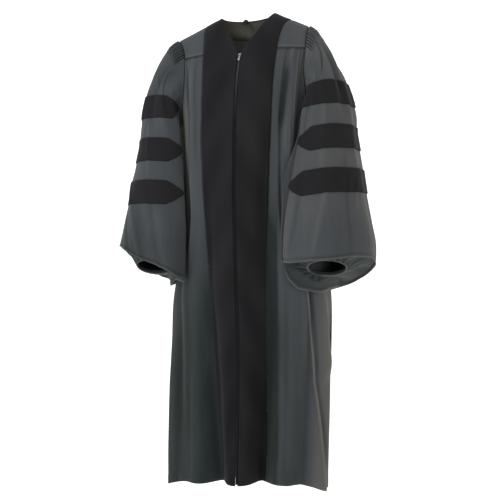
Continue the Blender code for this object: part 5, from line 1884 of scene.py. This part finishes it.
# The slider runs most over the upper teeth, so they are polished, and the lower ones stay dull.
tree = tooth_plastic.node_tree
place = add(tree, "ShaderNodeTexCoord").outputs["Object"]
height = add(tree, "ShaderNodeSeparateXYZ", {"Vector": place}).outputs["Z"]
polish = add(
    tree,
    "ShaderNodeMapRange",
    {"Value": height, "From Min": -0.32, "From Max": -0.18, "To Min": 0.2, "To Max": 1.0},
)
shader = tree.nodes["Principled BSDF"]
tree.links.new(polish.outputs["Result"], shader.inputs["Specular IOR Level"])
zip_steel = smooth_material("satin_zip_metal", "8E9092", "B4B6B8", 0.36, 1.0)


def rounded_block(bm, low, high, round_by, segments=2):
    """A block between two corners with rounded edges. Returns its points."""
    before = set(bm.verts)
    made = bmesh.ops.create_cube(bm, size=1.0)["verts"]
    for vert in made:
        vert.co = Vector([mix(low[i], high[i], vert.co[i] + 0.5) for i in range(3)])
    edges = list({edge for vert in made for edge in vert.link_edges})
    bmesh.ops.bevel(
        bm, geom=edges, offset=round_by, segments=segments, profile=0.5, affect="EDGES", material=-1
    )
    return [vert for vert in bm.verts if vert not in before]


def hard_piece(name, bm, body, material, node):
    """Makes an object of a moulded or cast piece, smooth but for its edges."""
    bmesh.ops.recalc_face_normals(bm, faces=bm.faces)
    piece = finished(name, bm, material)
    piece.data.set_sharp_from_angle(angle=math.radians(50))
    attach(piece, body)
    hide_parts(node)
    print(f"{name}: {len(piece.data.polygons)} faces")


def zip_teeth():
    """One tooth is rounded once, and its points and faces are repeated down the zip."""
    model = bmesh.new()
    rounded_block(model, [-h for h in TOOTH_HALF], list(TOOTH_HALF), 0.0003, segments=1)
    model.verts.index_update()
    corners = [vert.co.copy() for vert in model.verts]
    faces = [[vert.index for vert in face.verts] for face in model.faces]
    model.free()
    bm = bmesh.new()
    start, end = -NECK_DROP - CHAIN_BELOW_V - 0.004, -FRONT_HEM + CHAIN_ABOVE_HEM + 0.002
    count = int((start - end) / TOOTH_PITCH * 2)
    for k in range(count):
        z = start - k * TOOTH_PITCH / 2
        point, out = chain_point(z)
        side = LEFT if k % 2 else RIGHT
        verts = []
        for corner in corners:
            across = side * 0.0011 + corner.x
            moved = point + out * (corner.y - 0.0004) + Vector((across, 0.0, corner.z))
            verts.append(bm.verts.new(leaned(moved)))
        for face in faces:
            bm.faces.new([verts[index] for index in face])
    hard_piece("zip_teeth", bm, "gown", tooth_plastic, "zip_chain")


zip_teeth()

# %% [markdown]
# The slider is die-cast: two plates with a wedge between them at the top and an arched bridge in
# front that holds the pull's pin. The plates narrow towards the foot, where the teeth come out
# closed. It stays where it is: only its pull turns.

# %% Zip slider and pull tab
SLIDER_HALF_WIDTH = 0.0045
SLIDER_TOP, SLIDER_FOOT = 0.0040, -0.0080
SLIDER_PLATE = 0.0012
# The slider's foot is this share of its full width.
FOOT_SHARE = 0.62
SLIDER_MOUTH = 0.0044
WEDGE_HALF_WIDTH = 0.0016
WEDGE_TOP, WEDGE_FOOT = 0.0038, 0.0008
BRIDGE_HALF_WIDTH = 0.0011
BRIDGE_RISE = 0.0042
BRIDGE_THICK = 0.0010
BRIDGE_TOP, BRIDGE_FOOT = 0.0009, -0.0040
# How far joined pieces of metal reach into each other.
BITE = 0.0004
PIN_RADIUS = 0.0006
PIN_OUT = 0.0012
PIN_Z = -0.0023
PULL_HALF_WIDTH = 0.0030
PULL_LENGTH = 0.0190
PULL_THICK = 0.0012
PULL_EYE = 0.0064
PULL_SIDE_GAP = 0.0005


def slider_frame():
    """Where the slider sits: the chain's top, with the direction out of the cloth and down it."""
    start = -NECK_DROP - CHAIN_BELOW_V
    top = ring_point(True, LEFT, 0.0, start)
    below = ring_point(True, LEFT, 0.0, start - PULL_LENGTH)
    down = (below - top).normalized()
    out = Vector((0.0, down.z, -down.y)).normalized()
    if out.y > 0:
        out = -out
    return top + out * (CHAIN_PROUD - CHAIN_DEPTH / 2), down, out


def slider_place():
    """The slider's own axes as a matrix: down the zip, and out of the cloth."""
    top, down, out = slider_frame()
    turn = Matrix.Rotation(math.atan2(down.y, -down.z), 4, "X")
    return Matrix.Translation(leaned(top)) @ turn


def swept_arch(bm, top_z, foot_z, root_y, rise, half_width, half_thick):
    """A round-edged strap that leaves a plate, arches outwards and comes back to it."""
    rings = []
    for k in range(25):
        along = k / 24
        lifted = math.sin(math.pi * along) ** 0.6
        z = mix(top_z, foot_z, along)
        slope = math.cos(math.pi * along)
        ring = []
        for j in range(12):
            turn = 2.0 * math.pi * j / 12
            out = half_thick * math.sin(turn)
            y = root_y - rise * lifted - out * (1.0 - abs(slope))
            ring.append(bm.verts.new(Vector((half_width * math.cos(turn), y, z + out * slope))))
        rings.append(ring)
    for first, second in zip(rings, rings[1:]):
        for j in range(12):
            bm.faces.new((first[j], first[(j + 1) % 12], second[(j + 1) % 12], second[j]))
    bm.faces.new(rings[0][::-1])
    bm.faces.new(rings[-1])


def slider_body():
    """Two plates, their side rails, the wedge and the bridge, in one piece."""
    bm = bmesh.new()
    half = SLIDER_MOUTH / 2
    front = -half - SLIDER_PLATE
    wide = SLIDER_HALF_WIDTH
    for low_y, high_y in ((front, -half), (half, half + SLIDER_PLATE)):
        low, high = (-wide, low_y, SLIDER_FOOT), (wide, high_y, SLIDER_TOP)
        for vert in rounded_block(bm, low, high, 0.00045, 3):
            vert.co.x *= mix(FOOT_SHARE, 1.0, ramp(vert.co.z, SLIDER_FOOT, 0.0))
    for edge in (-1, 1):
        side = rounded_block(
            bm, (-0.0004, -half, SLIDER_FOOT), (0.0004, -half + 0.0012, -0.0005), 0.0002, 1
        )
        for vert in side:
            vert.co.x += edge * wide * FOOT_SHARE
    low = (-WEDGE_HALF_WIDTH, -half - BITE, WEDGE_FOOT)
    high = (WEDGE_HALF_WIDTH, half + BITE, WEDGE_TOP)
    rounded_block(bm, low, high, 0.0004)
    swept_arch(
        bm, BRIDGE_TOP, BRIDGE_FOOT, front + BITE, BRIDGE_RISE + BITE - BRIDGE_THICK / 2,
        BRIDGE_HALF_WIDTH, BRIDGE_THICK / 2,
    )
    bmesh.ops.transform(bm, matrix=slider_place(), verts=bm.verts)
    hard_piece("slider_body", bm, "gown", zip_steel, "zip_slider")


def pull_tab():
    """The tab with its two arms and the pin that it swings on."""
    bm = bmesh.new()
    half, thick = PULL_HALF_WIDTH, PULL_THICK / 2
    arm = BRIDGE_HALF_WIDTH + PULL_SIDE_GAP
    tab = rounded_block(bm, (-half, -thick, -PULL_LENGTH), (half, thick, -PULL_EYE), 0.0004, 3)
    for vert in tab:
        vert.co.x *= 1.0 - 0.22 * bump(vert.co.z + PULL_EYE + 0.002, 0.004)
    for low_x, high_x in ((-half, -arm), (arm, half)):
        rounded_block(bm, (low_x, -thick, -PULL_EYE - BITE), (high_x, thick, thick), 0.0003, 2)
    raised = half * 0.62
    low = (-raised, -thick - 0.0002, -PULL_LENGTH + 0.002)
    rounded_block(bm, low, (raised, 0.0, -PULL_EYE - 0.003), 0.0002, 1)
    pin = bmesh.ops.create_cone(
        bm, cap_ends=True, segments=20, radius1=PIN_RADIUS, radius2=PIN_RADIUS,
        depth=2 * (arm + BITE),
    )
    for vert in pin["verts"]:
        vert.co = Vector((vert.co.z, vert.co.x, vert.co.y))
    pin_y = -SLIDER_MOUTH / 2 - SLIDER_PLATE - PIN_OUT
    offset = Matrix.Translation(Vector((0.0, pin_y, PIN_Z)))
    bmesh.ops.transform(bm, matrix=slider_place() @ offset, verts=bm.verts)
    hard_piece("pull_tab_metal", bm, "pull_tab", zip_steel, "zip_pull")


slider_body()
pull_tab()

# %% [markdown]
# The gown is lit as in a studio: a broad cool key from the upper left, a weaker warm fill from
# the right and white ground all round. Soft light keeps black velvet readable, because hard light
# would burn its folds' edges and leave the rest flat.

# %% Floor, lights and camera
FLOOR_Z = -1.47
CAMERA_AWAY = 2.6
CAMERA_TURN = math.radians(14.0)
CAMERA_Z = -0.675
PHOTO_WIDTH_PX = 500.0
FOCAL_PX = 903.0
SENSOR_MM = 36.0

GROUND_WIDE, GROUND_LONG, GROUND_IN_FRONT = 18.0, 16.0, 5.0
# Where the floor begins to curve up, and how wide the curve is.
BEND_STARTS, BEND_RADIUS = 3.0, 2.0


def white_ground():
    """A pale floor that curves up behind into a wall, so that no edge shows."""
    bm = bmesh.new()
    bmesh.ops.create_grid(bm, x_segments=24, y_segments=128, size=0.5)
    for vert in bm.verts:
        along = (vert.co.y + 0.5) * GROUND_LONG - GROUND_IN_FRONT
        bend = max(0.0, along - BEND_STARTS)
        turned = min(bend / BEND_RADIUS, math.pi / 2)
        y = min(along, BEND_STARTS) + BEND_RADIUS * math.sin(turned)
        rise = BEND_RADIUS * (1.0 - math.cos(turned)) + max(0.0, bend - BEND_RADIUS * math.pi / 2)
        vert.co = Vector((vert.co.x * GROUND_WIDE, y, FLOOR_Z + rise))
    material, tree, shader = new_material("painted_studio_white", "F4F4F3", 0.9)
    shader.inputs["Specular IOR Level"].default_value = 0.1
    shader.inputs["Emission Color"].default_value = (1.0, 1.0, 1.0, 1.0)
    shader.inputs["Emission Strength"].default_value = 0.60
    place = add(tree, "ShaderNodeTexCoord").outputs["Object"]
    paint = add(tree, "ShaderNodeTexNoise", {"Vector": place, "Scale": 60.0, "Detail": 2.0})
    brushed = {"Height": paint.outputs["Fac"], "Strength": 0.05, "Distance": 0.002}
    bump_node = add(tree, "ShaderNodeBump", brushed)
    tree.links.new(bump_node.outputs["Normal"], shader.inputs["Normal"])
    finished("white_ground", bm, material)


def soft_box(name, place, aim, size, watts, hex_colour):
    """A wide studio lamp that points at a place."""
    data = bpy.data.lights.new(name, "AREA")
    data.shape = "RECTANGLE"
    data.size, data.size_y = size
    data.energy = watts
    data.color = linear(hex_colour)[:3]
    lamp = bpy.data.objects.new(name, data)
    lamp.location = place
    lamp.rotation_euler = (Vector(aim) - Vector(place)).to_track_quat("-Z", "Y").to_euler()
    bpy.context.scene.collection.objects.link(lamp)


white_ground()
soft_box("key", (-1.5, -2.2, 1.1), (0.0, 0.0, -0.3), (1.3, 1.3), 42.0, "F6F8FA")
soft_box("fill", (2.8, -2.4, 0.2), (0.0, 0.0, -0.7), (2.0, 2.4), 14.0, "FFE0BC")
soft_box("top", (0.2, 0.4, 2.6), (0.0, 0.0, -0.6), (2.4, 2.4), 16.0, "FFFFFF")

world = bpy.data.worlds.new("studio")
world.use_nodes = True
world.node_tree.nodes["Background"].inputs["Color"].default_value = (1.0, 1.0, 1.0, 1.0)
world.node_tree.nodes["Background"].inputs["Strength"].default_value = 0.45
bpy.context.scene.world = world
bpy.context.scene.view_settings.view_transform = "Standard"
bpy.context.scene.view_settings.look = "None"

camera_data = bpy.data.cameras.new("camera")
camera_data.sensor_width = SENSOR_MM
camera_data.lens = FOCAL_PX / PHOTO_WIDTH_PX * SENSOR_MM
camera_data.shift_x = 0.003
camera = bpy.data.objects.new("camera", camera_data)
camera.location = (
    math.sin(CAMERA_TURN) * CAMERA_AWAY,
    -math.cos(CAMERA_TURN) * CAMERA_AWAY,
    CAMERA_Z,
)
camera.rotation_euler = (math.pi / 2, 0.0, CAMERA_TURN)
bpy.context.scene.collection.objects.link(camera)
bpy.context.scene.camera = camera
print("camera focal length", round(camera_data.lens, 2), "mm")
